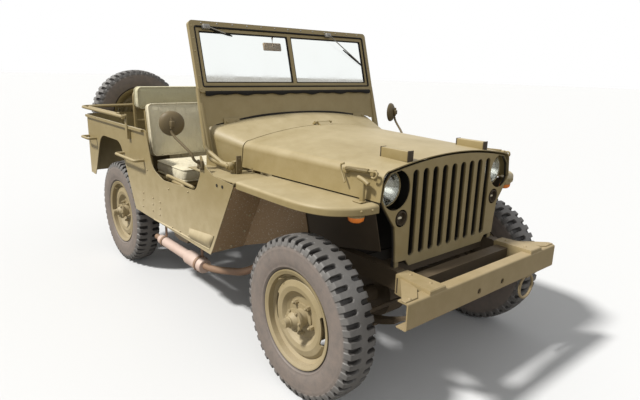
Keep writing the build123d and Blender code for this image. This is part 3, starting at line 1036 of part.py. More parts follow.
# Lamps: headlamps and marker lamps in the grille, turn lamps under the fenders, tail lamps on the rear panel
TAIL_LAMP_Z = 708.0
TURN_LAMP_AHEAD = 110.0
with BuildPart() as lamps:
    for way in (-1, 1):
        with BuildSketch(Plane.XY.offset(HEADLAMP_Z)) as bowl:
            with BuildLine():
                centre_y = way * HEADLAMP_Y
                face_x = ahead(HEADLAMP_FACE_AHEAD)
                Line((face_x - 80, centre_y), (face_x, centre_y))
                Line((face_x, centre_y), (face_x - 8, centre_y + 77))
                Line((face_x - 8, centre_y + 77), (face_x - 14, centre_y + 77))
                Line((face_x - 14, centre_y + 77), (face_x - 80, centre_y + 30))
                Line((face_x - 80, centre_y + 30), (face_x - 80, centre_y))
            make_face()
        revolve(bowl.sketch, axis=Axis((0, way * HEADLAMP_Y, HEADLAMP_Z), (1, 0, 0)))
        lug_y = way * (HEADLAMP_Y - HEADLAMP_HOLE_R - 9)
        slab(face_x - 14, face_x - 6, lug_y, lug_y + way * 26, HEADLAMP_Z - 12, HEADLAMP_Z + 12)
        slab(face_x - 14, ahead(GRILLE_AHEAD - SHEET - TOUCH_GAP), lug_y, lug_y + way * 9,
             HEADLAMP_Z - 12, HEADLAMP_Z + 12)
        rod((ahead(GRILLE_AHEAD - GRILLE_PAN - 50), way * MARKER_Y, MARKER_Z),
            (ahead(GRILLE_AHEAD + 2), way * MARKER_Y, MARKER_Z), 30)
        rod((ahead(GRILLE_AHEAD - SHEET - TOUCH_GAP - 5), way * MARKER_Y, MARKER_Z),
            (ahead(GRILLE_AHEAD - SHEET - TOUCH_GAP), way * MARKER_Y, MARKER_Z), MARKER_HOLE_R + 2)
        tail_y = way * (BODY_HALF - 120)
        rod((BODY_REAR_X - TOUCH_GAP, tail_y, TAIL_LAMP_Z), (BODY_REAR_X - 44, tail_y, TAIL_LAMP_Z), 38)
        turn_y = way * (FENDER_OUTER - 152)
        rod((ahead(TURN_LAMP_AHEAD), turn_y, FENDER_TOP - SHEET - TOUCH_GAP),
            (ahead(TURN_LAMP_AHEAD), turn_y, FENDER_TOP - 78), 24)

# Mirrors: round heads on straight arms from the body sides at the windshield
MIRROR_RADIUS = 62.0
with BuildPart() as mirrors:
    for way in (-1, 1):
        foot = (aft(722), way * (BODY_HALF + 8), 912)
        head = (aft(868), way * (BODY_HALF + 80), 1097)
        slab(aft(745), aft(700), way * (BODY_HALF + TOUCH_GAP), way * (BODY_HALF + 14), 884, 928)
        rod(foot, head, 7)
        with BuildSketch(Plane(origin=head, z_dir=(-0.86, way * 0.5, 0.1))) as glass:
            Circle(MIRROR_RADIUS)
        extrude(glass.sketch, amount=12, both=True)

# Grab handles, two at each side of the body
with BuildPart() as grab_handles:
    for way in (-1, 1):
        for front_aft, rear_aft, z in ((1470, 1800, 812), (2352, 2515, 840)):
            outer = way * (BODY_HALF + 56)
            inner = way * (BODY_HALF + TOUCH_GAP)
            tube([(aft(front_aft), inner, z), (aft(front_aft), outer, z), (aft(rear_aft), outer, z),
                  (aft(rear_aft), inner, z)], 9, 20)

nodes = {
    "chassis_frame": chassis_frame, "front_bumper": front_bumper, "bumper_filler": bumper_filler,
    "rear_bumperettes": rear_bumperettes, "tow_hook": tow_hook, "grille": grille, "radiator": radiator,
    "engine": engine, "gearbox": gearbox, "fender_left": fender_left, "fender_right": fender_right,
    "side_left": side_left, "side_right": side_right, "rear_panel": rear_panel, "floor": floor,
    "cowl": cowl, "hood": hood, "hood_blocks": hood_blocks, "windshield_frame": windshield_frame,
    "windshield_glass": windshield_glass, "lamps": lamps,
    "driver_seat_frame": driver_seat_frame, "driver_seat_cushions": driver_seat_cushions,
    "passenger_seat_frame": passenger_seat_frame, "passenger_seat_cushions": passenger_seat_cushions,
    "rear_seat_pan": rear_seat_pan, "rear_seat_cushion": rear_seat_cushion,
    "rear_back_frame": rear_back_frame,
    "rear_bolster": rear_bolster, "front_bow": front_bow, "rear_bow": rear_bow, "bow_brackets": bow_brackets,
    "steering_column": steering_column, "steering_wheel": steering_wheel, "fuel_tank": fuel_tank,
    "front_axle": front_axle, "rear_axle": rear_axle, "leaf_springs": leaf_springs, "exhaust": exhaust,
    "drive_shafts": drive_shafts, "knuckle_left": knuckle_left, "knuckle_right": knuckle_right,
    "tie_rod": tie_rod, "mirrors": mirrors, "grab_handles": grab_handles, "spare_tyre": spare_tyre,
    "spare_wheel": spare_wheel, "spare_carrier": spare_carrier,
}
nodes.update(wheels)

os.makedirs("parts", exist_ok=True)
for name, piece in nodes.items():
    piece.part.label = name
    export_step(piece.part, f"parts/{name}.step")
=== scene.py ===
"""The looks of an open army 4x4 car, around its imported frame.

Lengths are millimetres from the point on the ground below the middle of the front axle: +X forward, +Y to the car's
left, +Z up. piece() moves them into the car's own frame, in metres. The cushions and the stage are in metres from
the start. Every new piece is a surface worked out on a grid of two parameters, or a profile carried along a path.
"""
from math import cos, pi, radians, sin

import bmesh
import bpy
import numpy as np
from mathutils import Matrix, Vector


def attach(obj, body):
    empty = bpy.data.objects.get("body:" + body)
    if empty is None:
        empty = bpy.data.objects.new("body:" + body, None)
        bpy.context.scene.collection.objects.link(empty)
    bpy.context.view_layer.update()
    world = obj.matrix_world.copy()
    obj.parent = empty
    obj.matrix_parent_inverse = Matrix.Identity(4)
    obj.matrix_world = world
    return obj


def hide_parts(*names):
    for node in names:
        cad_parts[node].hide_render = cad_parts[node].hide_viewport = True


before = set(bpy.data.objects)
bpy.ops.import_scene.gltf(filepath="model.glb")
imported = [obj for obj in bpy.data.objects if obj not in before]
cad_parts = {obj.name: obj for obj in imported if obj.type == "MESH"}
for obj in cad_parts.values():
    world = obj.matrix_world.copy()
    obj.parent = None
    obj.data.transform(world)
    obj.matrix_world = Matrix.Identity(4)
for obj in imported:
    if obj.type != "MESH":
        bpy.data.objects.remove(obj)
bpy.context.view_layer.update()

FRONT_AXLE_X = 1187
REAR_AXLE_X = -2032
TRACK_HALF = 622
TYRE_RADIUS = 356
SHEET = 3
FORWARD, BACKWARD, LEFT, RIGHT, UP = (1, 0, 0), (-1, 0, 0), (0, 1, 0), (0, -1, 0), (0, 0, 1)


# Surfaces: each is a pair of arrays, its points and its four-sided faces
def surface(grid, wrap_rows=False, wrap_columns=False):
    """Faces of a grid of points: row i and column j join row i + 1 and column j + 1."""
    rows, columns = grid.shape[:2]
    i = np.arange(rows if wrap_rows else rows - 1)[:, None]
    j = np.arange(columns if wrap_columns else columns - 1)[None, :]
    after_i, after_j = (i + 1) % rows, (j + 1) % columns
    quads = np.stack([i * columns + j, i * columns + after_j, after_i * columns + after_j, after_i * columns + j], -1)
    return grid.reshape(-1, 3), quads.reshape(-1, 4)


def joined(parts):
    """Several surfaces as one."""
    points = np.concatenate([p for p, _ in parts])
    starts = np.cumsum([0] + [len(p) for p, _ in parts[:-1]])
    return points, np.concatenate([q + s for (_, q), s in zip(parts, starts)])


def unit(vectors):
    return vectors / np.maximum(np.linalg.norm(vectors, axis=-1, keepdims=True), 1e-12)


def frame_along(axis):
    """Three unit vectors, the last along the axis."""
    w = unit(np.array(axis, float))
    helper = UP if abs(w[2]) < 0.9 else FORWARD
    u = unit(np.cross(helper, w))
    return np.stack([u, np.cross(w, u), w])


def lathe(profile, centre=(0, 0, 0), axis=UP, segments=32):
    """A profile of (radius, height) pairs turned once about the axis through the centre."""
    u, v, w = frame_along(axis)
    profile = np.array(profile, float)
    turn = np.linspace(0, 2 * pi, segments, endpoint=False)[None, :, None]
    radius, height = profile[:, 0][:, None, None], profile[:, 1][:, None, None]
    grid = np.array(centre) + radius * (np.cos(turn) * u + np.sin(turn) * v) + height * w
    return surface(grid, wrap_columns=True)


def sweep(path, radius, sides=10, closed=False, up=UP):
    """A round bar whose middle line is the path: each point's ring lies square to the path."""
    path = np.array(path, float)
    tangent = unit(np.roll(path, -1, 0) - np.roll(path, 1, 0) if closed else np.gradient(path, axis=0))
    side = np.cross(tangent, np.array(up, float))
    weak = np.linalg.norm(side, axis=1) < 1e-3
    side[weak] = np.cross(tangent[weak], [1.0, 0.0, 0.0])
    side = unit(side)
    lift = np.cross(side, tangent)
    turn = np.linspace(0, 2 * pi, sides, endpoint=False)[None, :, None]
    radius = np.broadcast_to(np.array(radius, float), len(path))[:, None, None]
    grid = path[:, None] + radius * (np.cos(turn) * side[:, None] + np.sin(turn) * lift[:, None])
    if closed:
        return surface(grid, wrap_rows=True, wrap_columns=True)
    ends = [np.broadcast_to(path[k], grid[0].shape)[None] for k in (0, -1)]
    return surface(np.concatenate([ends[0], grid, ends[1]]), wrap_columns=True)


def rounded_box(size, radius, centre=(0, 0, 0), axes=np.eye(3), steps=3):
    """A ball of the radius, cut at its three middle planes and moved apart to fill the box."""
    half = np.array(size, float) / 2 - radius
    quarter = np.linspace(0, pi / 2, steps + 1)
    lon = np.concatenate([quarter + k * pi / 2 for k in range(4)])
    lat = np.concatenate([-quarter[::-1], quarter])
    sign_x = np.repeat([1, -1, -1, 1], steps + 1)[None, :]
    sign_y = np.repeat([1, 1, -1, -1], steps + 1)[None, :]
    sign_z = np.repeat([-1, 1], steps + 1)[:, None]
    x = sign_x * half[0] + radius * np.cos(lat)[:, None] * np.cos(lon)[None, :]
    y = sign_y * half[1] + radius * np.cos(lat)[:, None] * np.sin(lon)[None, :]
    z = sign_z * half[2] + radius * np.sin(lat)[:, None] + 0 * lon[None, :]
    grid = np.stack([x, y, z], -1)
    poles = [np.broadcast_to([0, 0, k * (half[2] + radius)], grid[0].shape)[None] for k in (-1, 1)]
    grid = np.concatenate([poles[0], grid, poles[1]])
    return surface(np.array(centre) + grid @ np.array(axes, float), wrap_columns=True)


def copies(part, places, axis=None):
    """Copies of a part that stands on the origin along +Z, one at each place, turned along the axis."""
    points, quads = part
    turned = points if axis is None else points @ frame_along(axis)
    moved = turned[None] + np.array(places, float)[:, None]
    steps = np.arange(len(moved))[:, None, None] * len(points)
    return moved.reshape(-1, 3), (quads[None] + steps).reshape(-1, 4)


def rounded_route(corners, radius, closed=False, steps=5):
    """A route through the corners, each cut short by the radius and bent in a smooth curve."""
    corners = np.array(corners, float)
    start = corners + unit(np.roll(corners, 1, 0) - corners) * radius
    end = corners + unit(np.roll(corners, -1, 0) - corners) * radius
    t = np.linspace(0, 1, steps + 1)[None, :, None]
    bends = (1 - t) ** 2 * start[:, None] + 2 * t * (1 - t) * corners[:, None] + t ** 2 * end[:, None]
    if closed:
        return bends.reshape(-1, 3)
    return np.concatenate([corners[:1], bends[1:-1].reshape(-1, 3), corners[-1:]])


def prism(outline, shift, bevel=1.5):
    """A flat plate: its outline carried along the shift, its edges cut back by the bevel, closed from the middle."""
    outline, shift = np.array(outline, float), np.array(shift, float)
    middle = outline.mean(0)
    inward = outline + unit(middle - outline) * bevel
    step = shift * min(0.4, bevel / np.linalg.norm(shift))
    rows = [np.broadcast_to(middle, outline.shape), inward, outline + step, outline + shift - step, inward + shift,
            np.broadcast_to(middle + shift, outline.shape)]
    return surface(np.stack(rows), wrap_columns=True)


def sheet(grid, thickness=SHEET, holes=()):
    """Sheet metal: the grid, and a copy behind it along the grid's own normals, closed round all four edges.
    A hole is (first row, last row, first column, last column, centre, radius): its rectangle is left out, and rings
    between the rectangle and the circle fill it on both faces, joined through the hole."""
    normal = unit(np.cross(np.gradient(grid, axis=0), np.gradient(grid, axis=1)))
    back = grid - thickness * normal
    shell, flat = np.concatenate([grid, back[::-1]]), np.concatenate([grid, grid[::-1]])
    shell = np.concatenate([flat[:, :1], shell, flat[:, -1:]], axis=1)
    points, quads = surface(shell, wrap_rows=True)
    rows, columns = shell.shape[:2]
    i, j = np.divmod(np.arange(len(quads)), columns - 1)
    keep = np.ones(len(quads), bool)
    patches = []
    for top, low, left, right, centre, radius in holes:
        across = (j >= left + 1) & (j < right + 1)
        keep &= ~(across & (i >= top) & (i < low))
        keep &= ~(across & (i >= rows - 1 - low) & (i < rows - 1 - top))
        ring = [(top, k) for k in range(left, right)] + [(k, right) for k in range(top, low)]
        ring += [(low, k) for k in range(right, left, -1)] + [(k, left) for k in range(low, top, -1)]
        ring = tuple(np.array(ring).T)
        faces = []
        for skin in (grid[ring], back[ring]):
            middle = np.array(centre, float) + (skin.mean(0) - grid[ring].mean(0))
            circle = middle + radius * unit(skin - middle)
            faces.append([skin, circle + 0.35 * (skin - circle), circle])
        patches.append(surface(np.stack(faces[0] + faces[1][::-1]), wrap_columns=True))
    return joined([(points, quads[keep])] + patches)


def smooth_line(points, count):
    """A smooth line through the points, from a spline whose slope at each point is half the step across it."""
    points = np.array(points, float)
    slope = np.gradient(points, axis=0)
    place = np.linspace(0, len(points) - 1, count)
    k = np.minimum(place.astype(int), len(points) - 2)
    t = (place - k)[:, None]
    return ((2 * t ** 3 - 3 * t ** 2 + 1) * points[k] + (t ** 3 - 2 * t ** 2 + t) * slope[k]
            + (3 * t ** 2 - 2 * t ** 3) * points[k + 1] + (t ** 3 - t ** 2) * slope[k + 1])


def bent_bar(points, count, radius, sides=10):
    """A round bar along a smooth line through the points."""
    return sweep(smooth_line(points, count), radius, sides)


def board(*corners, counts=(8, 12)):
    """A sheet stretched between four corners, given in order round it."""
    a, b, c, d = (np.array(corner, float) for corner in corners)
    s, t = np.linspace(0, 1, counts[0])[:, None, None], np.linspace(0, 1, counts[1])[None, :, None]
    return sheet((1 - s) * ((1 - t) * a + t * b) + s * ((1 - t) * d + t * c))


def mirrored(part):
    """The same part on the other side of the car."""
    points, quads = part
    return points * [1, -1, 1], quads[:, ::-1]


def both_sides(*parts):
    part = joined(parts)
    return joined([part, mirrored(part)])


def turned_pair(profile, place, axis, segments=32):
    """A turned form at the place and another on the other side of the car."""
    x, y, z = place
    return [lathe(profile, (x, way * y, z), axis, segments) for way in (1, -1)]


def hex_bolt(radius, height):
    """A six-sided head with a slightly domed top, on a thin round washer."""
    head = lathe([(0, 0), (radius, 0), (radius, height * 0.8), (radius * 0.8, height), (0, height)], segments=6)
    return joined([head, lathe([(0, -0.5), (radius * 1.35, -0.5), (radius * 1.35, 1.2), (0, 1.2)], segments=16)])


def dome_rivet(radius, height):
    """A round head: a quarter circle turned about its axis."""
    return lathe([(0, -0.5)] + [(radius * cos(t), height * sin(t)) for t in np.radians([0, 30, 60, 90])], segments=8)


def band(inner, outer, half):
    """The section of a strap round a pipe."""
    return [(inner, -half), (outer, -half), (outer, half), (inner, half), (inner, -half)]


def piece(name, parts, material, crease=40, body="car_body", replaced=(), slot=None):
    """Makes a surface or a list of them one object that moves with the body, smooth except where it turns by more
    than the crease. The slot is not used."""
    points, quads = joined(parts) if isinstance(parts, list) else parts
    points = (points + [FRONT_AXLE_X, 0, 0]) / 1000
    mesh = bpy.data.meshes.new(name)
    mesh.vertices.add(len(points))
    mesh.vertices.foreach_set("co", points.astype(np.float32).ravel())
    mesh.loops.add(quads.size)
    mesh.loops.foreach_set("vertex_index", quads.astype(np.int32).ravel())
    mesh.polygons.add(len(quads))
    mesh.polygons.foreach_set("loop_start", np.arange(0, quads.size, 4, dtype=np.int32))
    mesh.update(calc_edges=True)
    merge(mesh, 1e-6)
    mesh.shade_smooth()
    mesh.set_sharp_from_angle(angle=radians(crease))
    mesh.materials.append(material)
    item = bpy.data.objects.new(name, mesh)
    bpy.context.scene.collection.objects.link(item)
    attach(item, body)
    if replaced:
        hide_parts(*replaced)
    slot = slot or next((label for label, finishes in SLOTS if material in finishes), None)
    return item


def merge(mesh, distance):
    """Joins points that share a place, and turns all faces outwards."""
    shape = bmesh.new()
    shape.from_mesh(mesh)
    bmesh.ops.remove_doubles(shape, verts=shape.verts, dist=distance)
    bmesh.ops.recalc_face_normals(shape, faces=shape.faces)
    shape.to_mesh(mesh)
    shape.free()


# Shader helpers: an input's value is a number, a colour or another node's output
def give(tree, sockets, values):
    for key, value in values.items():
        if isinstance(value, bpy.types.NodeSocket):
            tree.links.new(value, sockets[key])
        else:
            sockets[key].default_value = (*value, 1) if sockets[key].type == "RGBA" else value


def add_node(tree, kind, inputs=None, **settings):
    node = tree.nodes.new(kind)
    for key, value in settings.items():
        setattr(node, key, value)
    give(tree, node.inputs, inputs or {})
    return node


def math_node(tree, operation, *values, clamp=False):
    return add_node(tree, "ShaderNodeMath", dict(enumerate(values)), operation=operation, use_clamp=clamp).outputs[0]


def plus(tree, a, b, clamp=False):
    return math_node(tree, "ADD", a, b, clamp=clamp)


def minus(tree, a, b):
    return math_node(tree, "SUBTRACT", a, b)


def times(tree, a, b, clamp=False):
    return math_node(tree, "MULTIPLY", a, b, clamp=clamp)


def blend_colours(tree, share, a, b):
    return add_node(tree, "ShaderNodeMix", {0: share, 6: a, 7: b}, data_type="RGBA").outputs[2]


def ramp(tree, value, low, high):
    """0 below low, 1 above high, and straight in between."""
    return add_node(tree, "ShaderNodeMapRange", {"Value": value, "From Min": low, "From Max": high},
                    clamp=True).outputs[0]


def place_on(tree, output="Object"):
    return add_node(tree, "ShaderNodeTexCoord").outputs[output]


def part_of(tree, vector, label):
    return add_node(tree, "ShaderNodeSeparateXYZ", {0: vector}).outputs[label]


def noise(tree, scale, detail=4.0, roughness=0.6, vector=None):
    inputs = {"Vector": vector or place_on(tree), "Scale": scale, "Detail": detail, "Roughness": roughness}
    return add_node(tree, "ShaderNodeTexNoise", inputs).outputs["Fac"]


def new_group(name, inputs, outputs):
    """A shader node group with named sockets: a number or a colour in for each default, and out by kind."""
    tree = bpy.data.node_groups.new(name, "ShaderNodeTree")
    for label, default in inputs.items():
        kind = "NodeSocketColor" if isinstance(default, tuple) else "NodeSocketFloat"
        socket = tree.interface.new_socket(label, in_out="INPUT", socket_type=kind)
        socket.default_value = (*default, 1) if isinstance(default, tuple) else default
    for label, kind in outputs.items():
        tree.interface.new_socket(label, in_out="OUTPUT", socket_type="NodeSocket" + kind)
    return tree, tree.nodes.new("NodeGroupInput").outputs, tree.nodes.new("NodeGroupOutput").inputs


def weathered_surface():
    """Paint that fades in patches and turns lighter where it faces the sky, partly real fading and partly a painted
    highlight, gathers dust low down and mottles in patches.
    """
    tree, given, out = new_group(
        "weathered_surface",
        {"Paint": (0.2, 0.18, 0.09), "Faded": (0.4, 0.36, 0.22), "Dust": (0.42, 0.34, 0.24), "Fade": 0.6,
         "Dust share": 0.5, "Dust top": 0.75},
        {"Color": "Color", "Roughness": "Float", "Height": "Float"})
    patches = noise(tree, 2.2, 5.0, 0.62)
    mottle = noise(tree, 17.0, 6.0, 0.65)
    grain = noise(tree, 260.0, 2.0)
    sky = ramp(tree, part_of(tree, place_on(tree, "Normal"), "Z"), 0.1, 0.95)
    wide = math_node(tree, "MULTIPLY_ADD", patches, 1.5, -0.35)
    # facing up raises the share of the faded colour: partly sun fading, partly a painted highlight on top faces
    spread = math_node(tree, "MULTIPLY_ADD", sky, 0.75, 0.22)
    fade_and_highlight = times(tree, times(tree, wide, spread), given["Fade"])
    fade_and_highlight = plus(tree, fade_and_highlight, times(tree, minus(tree, mottle, 0.5), 0.3), True)
    colour = blend_colours(tree, fade_and_highlight, given["Paint"], given["Faded"])
    height = part_of(tree, place_on(tree), "Z")
    low = math_node(tree, "DIVIDE", minus(tree, given["Dust top"], height), given["Dust top"])
    settled = times(tree, times(tree, sky, patches), 0.35)
    cover = times(tree, plus(tree, math_node(tree, "MAXIMUM", low, 0.0), settled), given["Dust share"])
    cover = times(tree, cover, plus(tree, mottle, 0.5), True)
    rough = plus(tree, times(tree, cover, 0.3), 0.44)
    give(tree, out, {"Color": blend_colours(tree, cover, colour, given["Dust"]),
                     "Roughness": plus(tree, rough, times(tree, mottle, 0.14), True),
                     "Height": plus(tree, times(tree, grain, 0.25), times(tree, mottle, 0.5))})
    return tree


def worn_edges():
    """A mask of rubbed edges: how far the softened normal leans from the true one, broken up by noise."""
    tree, given, out = new_group("worn_edges", {"Reach": 0.004, "Amount": 1.0}, {"Mask": "Float"})
    soft = add_node(tree, "ShaderNodeBevel", {"Radius": given["Reach"]}, samples=3).outputs[0]
    true_normal = add_node(tree, "ShaderNodeNewGeometry").outputs["Normal"]
    lean = add_node(tree, "ShaderNodeVectorMath", {0: soft, 1: true_normal}, operation="DOT_PRODUCT").outputs["Value"]
    edge = ramp(tree, minus(tree, 1.0, lean), 0.02, 0.22)
    broken = ramp(tree, noise(tree, 34.0, 5.0, 0.7), 0.42, 0.62)
    give(tree, out, {"Mask": times(tree, times(tree, edge, broken), given["Amount"], True)})
    return tree


def woven_cloth():
    """Threads that cross: the height of three sets of waves, and a soft shade over them."""
    tree, given, out = new_group("woven_cloth", {"Threads": 900.0}, {"Height": "Float", "Shade": "Float"})
    place = place_on(tree)
    waves = [add_node(tree, "ShaderNodeTexWave", {"Vector": place, "Scale": given["Threads"]},
                      bands_direction=axis).outputs[1] for axis in ("X", "Y", "Z")]
    total = plus(tree, plus(tree, waves[0], waves[1]), waves[2])
    give(tree, out, {"Height": times(tree, total, 0.33),
                     "Shade": plus(tree, times(tree, noise(tree, 9.0, 5.0), 0.5), 0.25)})
    return tree


WEATHER = weathered_surface()
EDGES = worn_edges()
WEAVE = woven_cloth()


def finish_start(name):
    material = bpy.data.materials.new(name)
    material.use_nodes = True
    return material, material.node_tree, material.node_tree.nodes["Principled BSDF"]


def bump(tree, height, strength, distance=0.002):
    return add_node(tree, "ShaderNodeBump", {"Strength": strength, "Distance": distance, "Height": height}).outputs[0]


OLIVE = (0.25, 0.192, 0.080)
# the faded olive, also lightened as a painted highlight on up-facing paint
OLIVE_FADED_AND_HIGHLIT = (0.56, 0.48, 0.305)
ROAD_DUST = (0.44, 0.34, 0.225)
PALE_DUST = (0.66, 0.58, 0.42)
BARE_PRIMER = (0.115, 0.085, 0.055)
BARE_STEEL = (0.1, 0.08, 0.06)
SHADOW = (0.012, 0.010, 0.008)


def weathered_finish(name, paint, faded_and_highlit, dust, fade_and_highlight, dust_share, dust_top, edge=0.0, edge_colour=BARE_PRIMER,
                     metallic=0.0, speckle=None, dark_below=None, shine=0.5):
    """A painted or bare surface from the weathering group, with rubbed edges laid over it; its faded colour also serves
    as a painted highlight on up-facing surfaces. Speckle is the colour of small spots; dark_below is two places along
    the car between which the paint turns to painted shade towards the rear."""
    material, tree, shader = finish_start(name)
    weather = add_node(tree, "ShaderNodeGroup", node_tree=WEATHER)
    give(tree, weather.inputs, {"Paint": paint, "Faded": faded_and_highlit, "Dust": dust, "Fade": fade_and_highlight, "Dust share": dust_share,
                                "Dust top": dust_top})
    colour = weather.outputs["Color"]
    if speckle:
        colour = blend_colours(tree, ramp(tree, noise(tree, 120.0, 3.0, 0.75), 0.60, 0.64), colour, speckle)
    if edge:
        mask = add_node(tree, "ShaderNodeGroup", node_tree=EDGES)
        mask.inputs["Amount"].default_value = edge
        colour = blend_colours(tree, mask.outputs["Mask"], colour, edge_colour)
    # painted shade: towards the rear of the span the paint turns to the SHADOW colour, as deep in the grille's slots
    if dark_below:
        along = part_of(tree, place_on(tree), "X")
        colour = blend_colours(tree, ramp(tree, along, *dark_below), SHADOW, colour)
    give(tree, shader.inputs, {"Base Color": colour, "Roughness": weather.outputs["Roughness"], "Metallic": metallic,
                               "Specular IOR Level": shine,
                               "Normal": bump(tree, weather.outputs["Height"], 0.25)})
    return material


# places along the car, in metres, behind which the grille's paint turns to painted shade deep in its slots
GRILLE_SHADE_SPAN = (1.419, 1.4305)
body_paint = weathered_finish("body_paint", OLIVE, OLIVE_FADED_AND_HIGHLIT, PALE_DUST, 0.66, 0.8, 0.85, 0.5)
frame_paint = weathered_finish("frame_paint", OLIVE, OLIVE_FADED_AND_HIGHLIT, ROAD_DUST, 0.42, 0.75, 0.78, 0.7)
wheel_paint = weathered_finish("wheel_paint", OLIVE, OLIVE_FADED_AND_HIGHLIT, (0.40, 0.34, 0.24), 0.35, 0.6, 0.9, 0.5)
# near-black paint: on the frame, axles and inner fender boards it also stands in for the shade under the car and in the
# wheel wells
under_paint = weathered_finish("under_paint", (0.045, 0.033, 0.020), (0.10, 0.075, 0.048), ROAD_DUST, 0.4, 0.3, 0.7,
                               0.4, shine=0.3)
# near-black metal: on the radiator and its fins behind the grille it also stands in for the shade there
engine_metal = weathered_finish("engine_metal", (0.022, 0.022, 0.02), (0.04, 0.038, 0.034), ROAD_DUST, 0.3, 0.08, 0.9,
                                0.3, BARE_STEEL, shine=0.15)
exhaust_steel = weathered_finish("exhaust_steel", (0.50, 0.36, 0.30), (0.82, 0.70, 0.63), (0.62, 0.50, 0.43), 0.8,
                                 0.6, 0.6, 0.3, BARE_STEEL, metallic=0.1)
pipe_rust = weathered_finish("pipe_rust", (0.17, 0.085, 0.05), (0.32, 0.20, 0.14), ROAD_DUST, 0.6, 0.4, 0.6, 0.3,
                             BARE_STEEL)
splash_paint = weathered_finish("splash_paint", (0.29, 0.19, 0.10), (0.40, 0.28, 0.17), ROAD_DUST, 0.5, 0.25, 0.7,
                                0.4, speckle=(0.50, 0.44, 0.34))
grille_paint = weathered_finish("grille_paint", OLIVE, OLIVE_FADED_AND_HIGHLIT, PALE_DUST, 0.5, 0.5, 0.8, 0.5,
                                dark_below=GRILLE_SHADE_SPAN)
dark_rubber = weathered_finish("dark_rubber", (0.012, 0.011, 0.010), (0.026, 0.023, 0.020), ROAD_DUST, 0.5, 0.1, 0.8,
                               shine=0.12)
bay_grey = weathered_finish("bay_grey", (0.075, 0.080, 0.075), (0.15, 0.15, 0.135), ROAD_DUST, 0.4, 0.3, 1.0, 0.5,
                            BARE_STEEL, shine=0.4)
tub_paint = weathered_finish("tub_paint", (0.125, 0.095, 0.048), (0.22, 0.175, 0.095), ROAD_DUST, 0.5, 0.3, 0.8, 0.4,
                             shine=0.3)
grey_steel = weathered_finish("grey_steel", (0.24, 0.235, 0.22), (0.34, 0.32, 0.29), ROAD_DUST, 0.5, 0.3, 0.8,
                              metallic=0.7)


def tyre_rubber_finish():
    """Grey worn rubber with painted shade deep in its slots, and brown dust on its sidewalls."""
    material, tree, shader = finish_start("tyre_rubber")
    mottle = noise(tree, 26.0, 6.0, 0.7)
    fine = noise(tree, 190.0, 3.0)
    slot_shade_depth, side = (add_node(tree, "ShaderNodeAttribute", attribute_name=label).outputs["Fac"]
                   for label in ("groove", "sidewall"))
    rubber = blend_colours(tree, mottle, (0.085, 0.082, 0.080), (0.185, 0.178, 0.170))
    hold = times(tree, side, plus(tree, mottle, 0.05), True)
    colour = blend_colours(tree, hold, rubber, (0.235, 0.185, 0.155))
    # painted shade: the rubber turns near black by how deep the point lies in a slot
    colour = blend_colours(tree, times(tree, slot_shade_depth, 0.93, True), colour, (0.010, 0.008, 0.007))
    height = plus(tree, times(tree, mottle, 0.6), fine)
    give(tree, shader.inputs, {"Base Color": colour, "Roughness": plus(tree, times(tree, fine, 0.25), 0.42),
                               "Normal": bump(tree, height, 0.3, 0.0015)})
    return material


def canvas_finish(name, cloth, pale, stain):
    """Faded canvas: crossing threads, pale rubbed patches, darker stains and loose folds."""
    material, tree, shader = finish_start(name)
    weave = add_node(tree, "ShaderNodeGroup", node_tree=WEAVE)
    weave.inputs["Threads"].default_value = 700.0
    colour = blend_colours(tree, weave.outputs["Shade"], cloth, pale)
    spots = ramp(tree, noise(tree, 5.0, 6.0, 0.7), 0.52, 0.78)
    height = plus(tree, times(tree, weave.outputs["Height"], 0.12), times(tree, noise(tree, 60.0, 4.0), 0.4))
    creases = add_node(tree, "ShaderNodeMapping", {"Vector": place_on(tree), "Scale": (7.0, 11.0, 4.0)}).outputs[0]
    folds = math_node(tree, "ABSOLUTE", minus(tree, noise(tree, 1.6, 3.0, 0.5, creases), 0.5))
    height = plus(tree, height, times(tree, folds, 9.0))
    give(tree, shader.inputs, {"Base Color": blend_colours(tree, times(tree, spots, 0.6), colour, stain),
                               "Roughness": 0.9, "Sheen Weight": 0.25, "Normal": bump(tree, height, 0.5, 0.0045)})
    return material


def glass_finish(name, colour, roughness=0.02, transmission=1.0):
    """Clear or coloured glass with a thin film of dust."""
    material, tree, shader = finish_start(name)
    film = ramp(tree, noise(tree, 7.0, 5.0), 0.35, 0.8)
    give(tree, shader.inputs, {"Base Color": blend_colours(tree, times(tree, film, 0.05), colour, (0.75, 0.72, 0.66)),
                               "Roughness": plus(tree, times(tree, film, 0.08), roughness),
                               "Transmission Weight": transmission, "IOR": 1.45})
    return material


def polished_finish(name, colour, roughness):
    """A bright reflector or mirror, slightly clouded in patches."""
    material, tree, shader = finish_start(name)
    clouds = noise(tree, 30.0, 4.0)
    give(tree, shader.inputs, {"Base Color": blend_colours(tree, times(tree, clouds, 0.2), colour, (0.5, 0.48, 0.44)),
                               "Metallic": 1.0, "Roughness": times(tree, clouds, roughness)})
    return material


tyre_rubber = tyre_rubber_finish()
seat_canvas = canvas_finish("seat_canvas", (0.56, 0.51, 0.35), (0.86, 0.80, 0.62), (0.38, 0.33, 0.21))
bolster_canvas = canvas_finish("bolster_canvas", (0.48, 0.45, 0.29), (0.66, 0.62, 0.43), (0.33, 0.30, 0.19))
rope_fibre = canvas_finish("rope_fibre", (0.62, 0.60, 0.54), (0.78, 0.77, 0.72), (0.42, 0.39, 0.33))
clear_glass = glass_finish("clear_glass", (0.93, 0.96, 0.94))
amber_glass = glass_finish("amber_glass", (1.0, 0.27, 0.03), 0.25, 0.12)
red_glass = glass_finish("red_glass", (0.55, 0.012, 0.01), 0.2, 0.35)
reflector = polished_finish("reflector", (0.50, 0.49, 0.46), 0.35)
mirror_glass = polished_finish("mirror_glass", (0.78, 0.80, 0.80), 0.12)

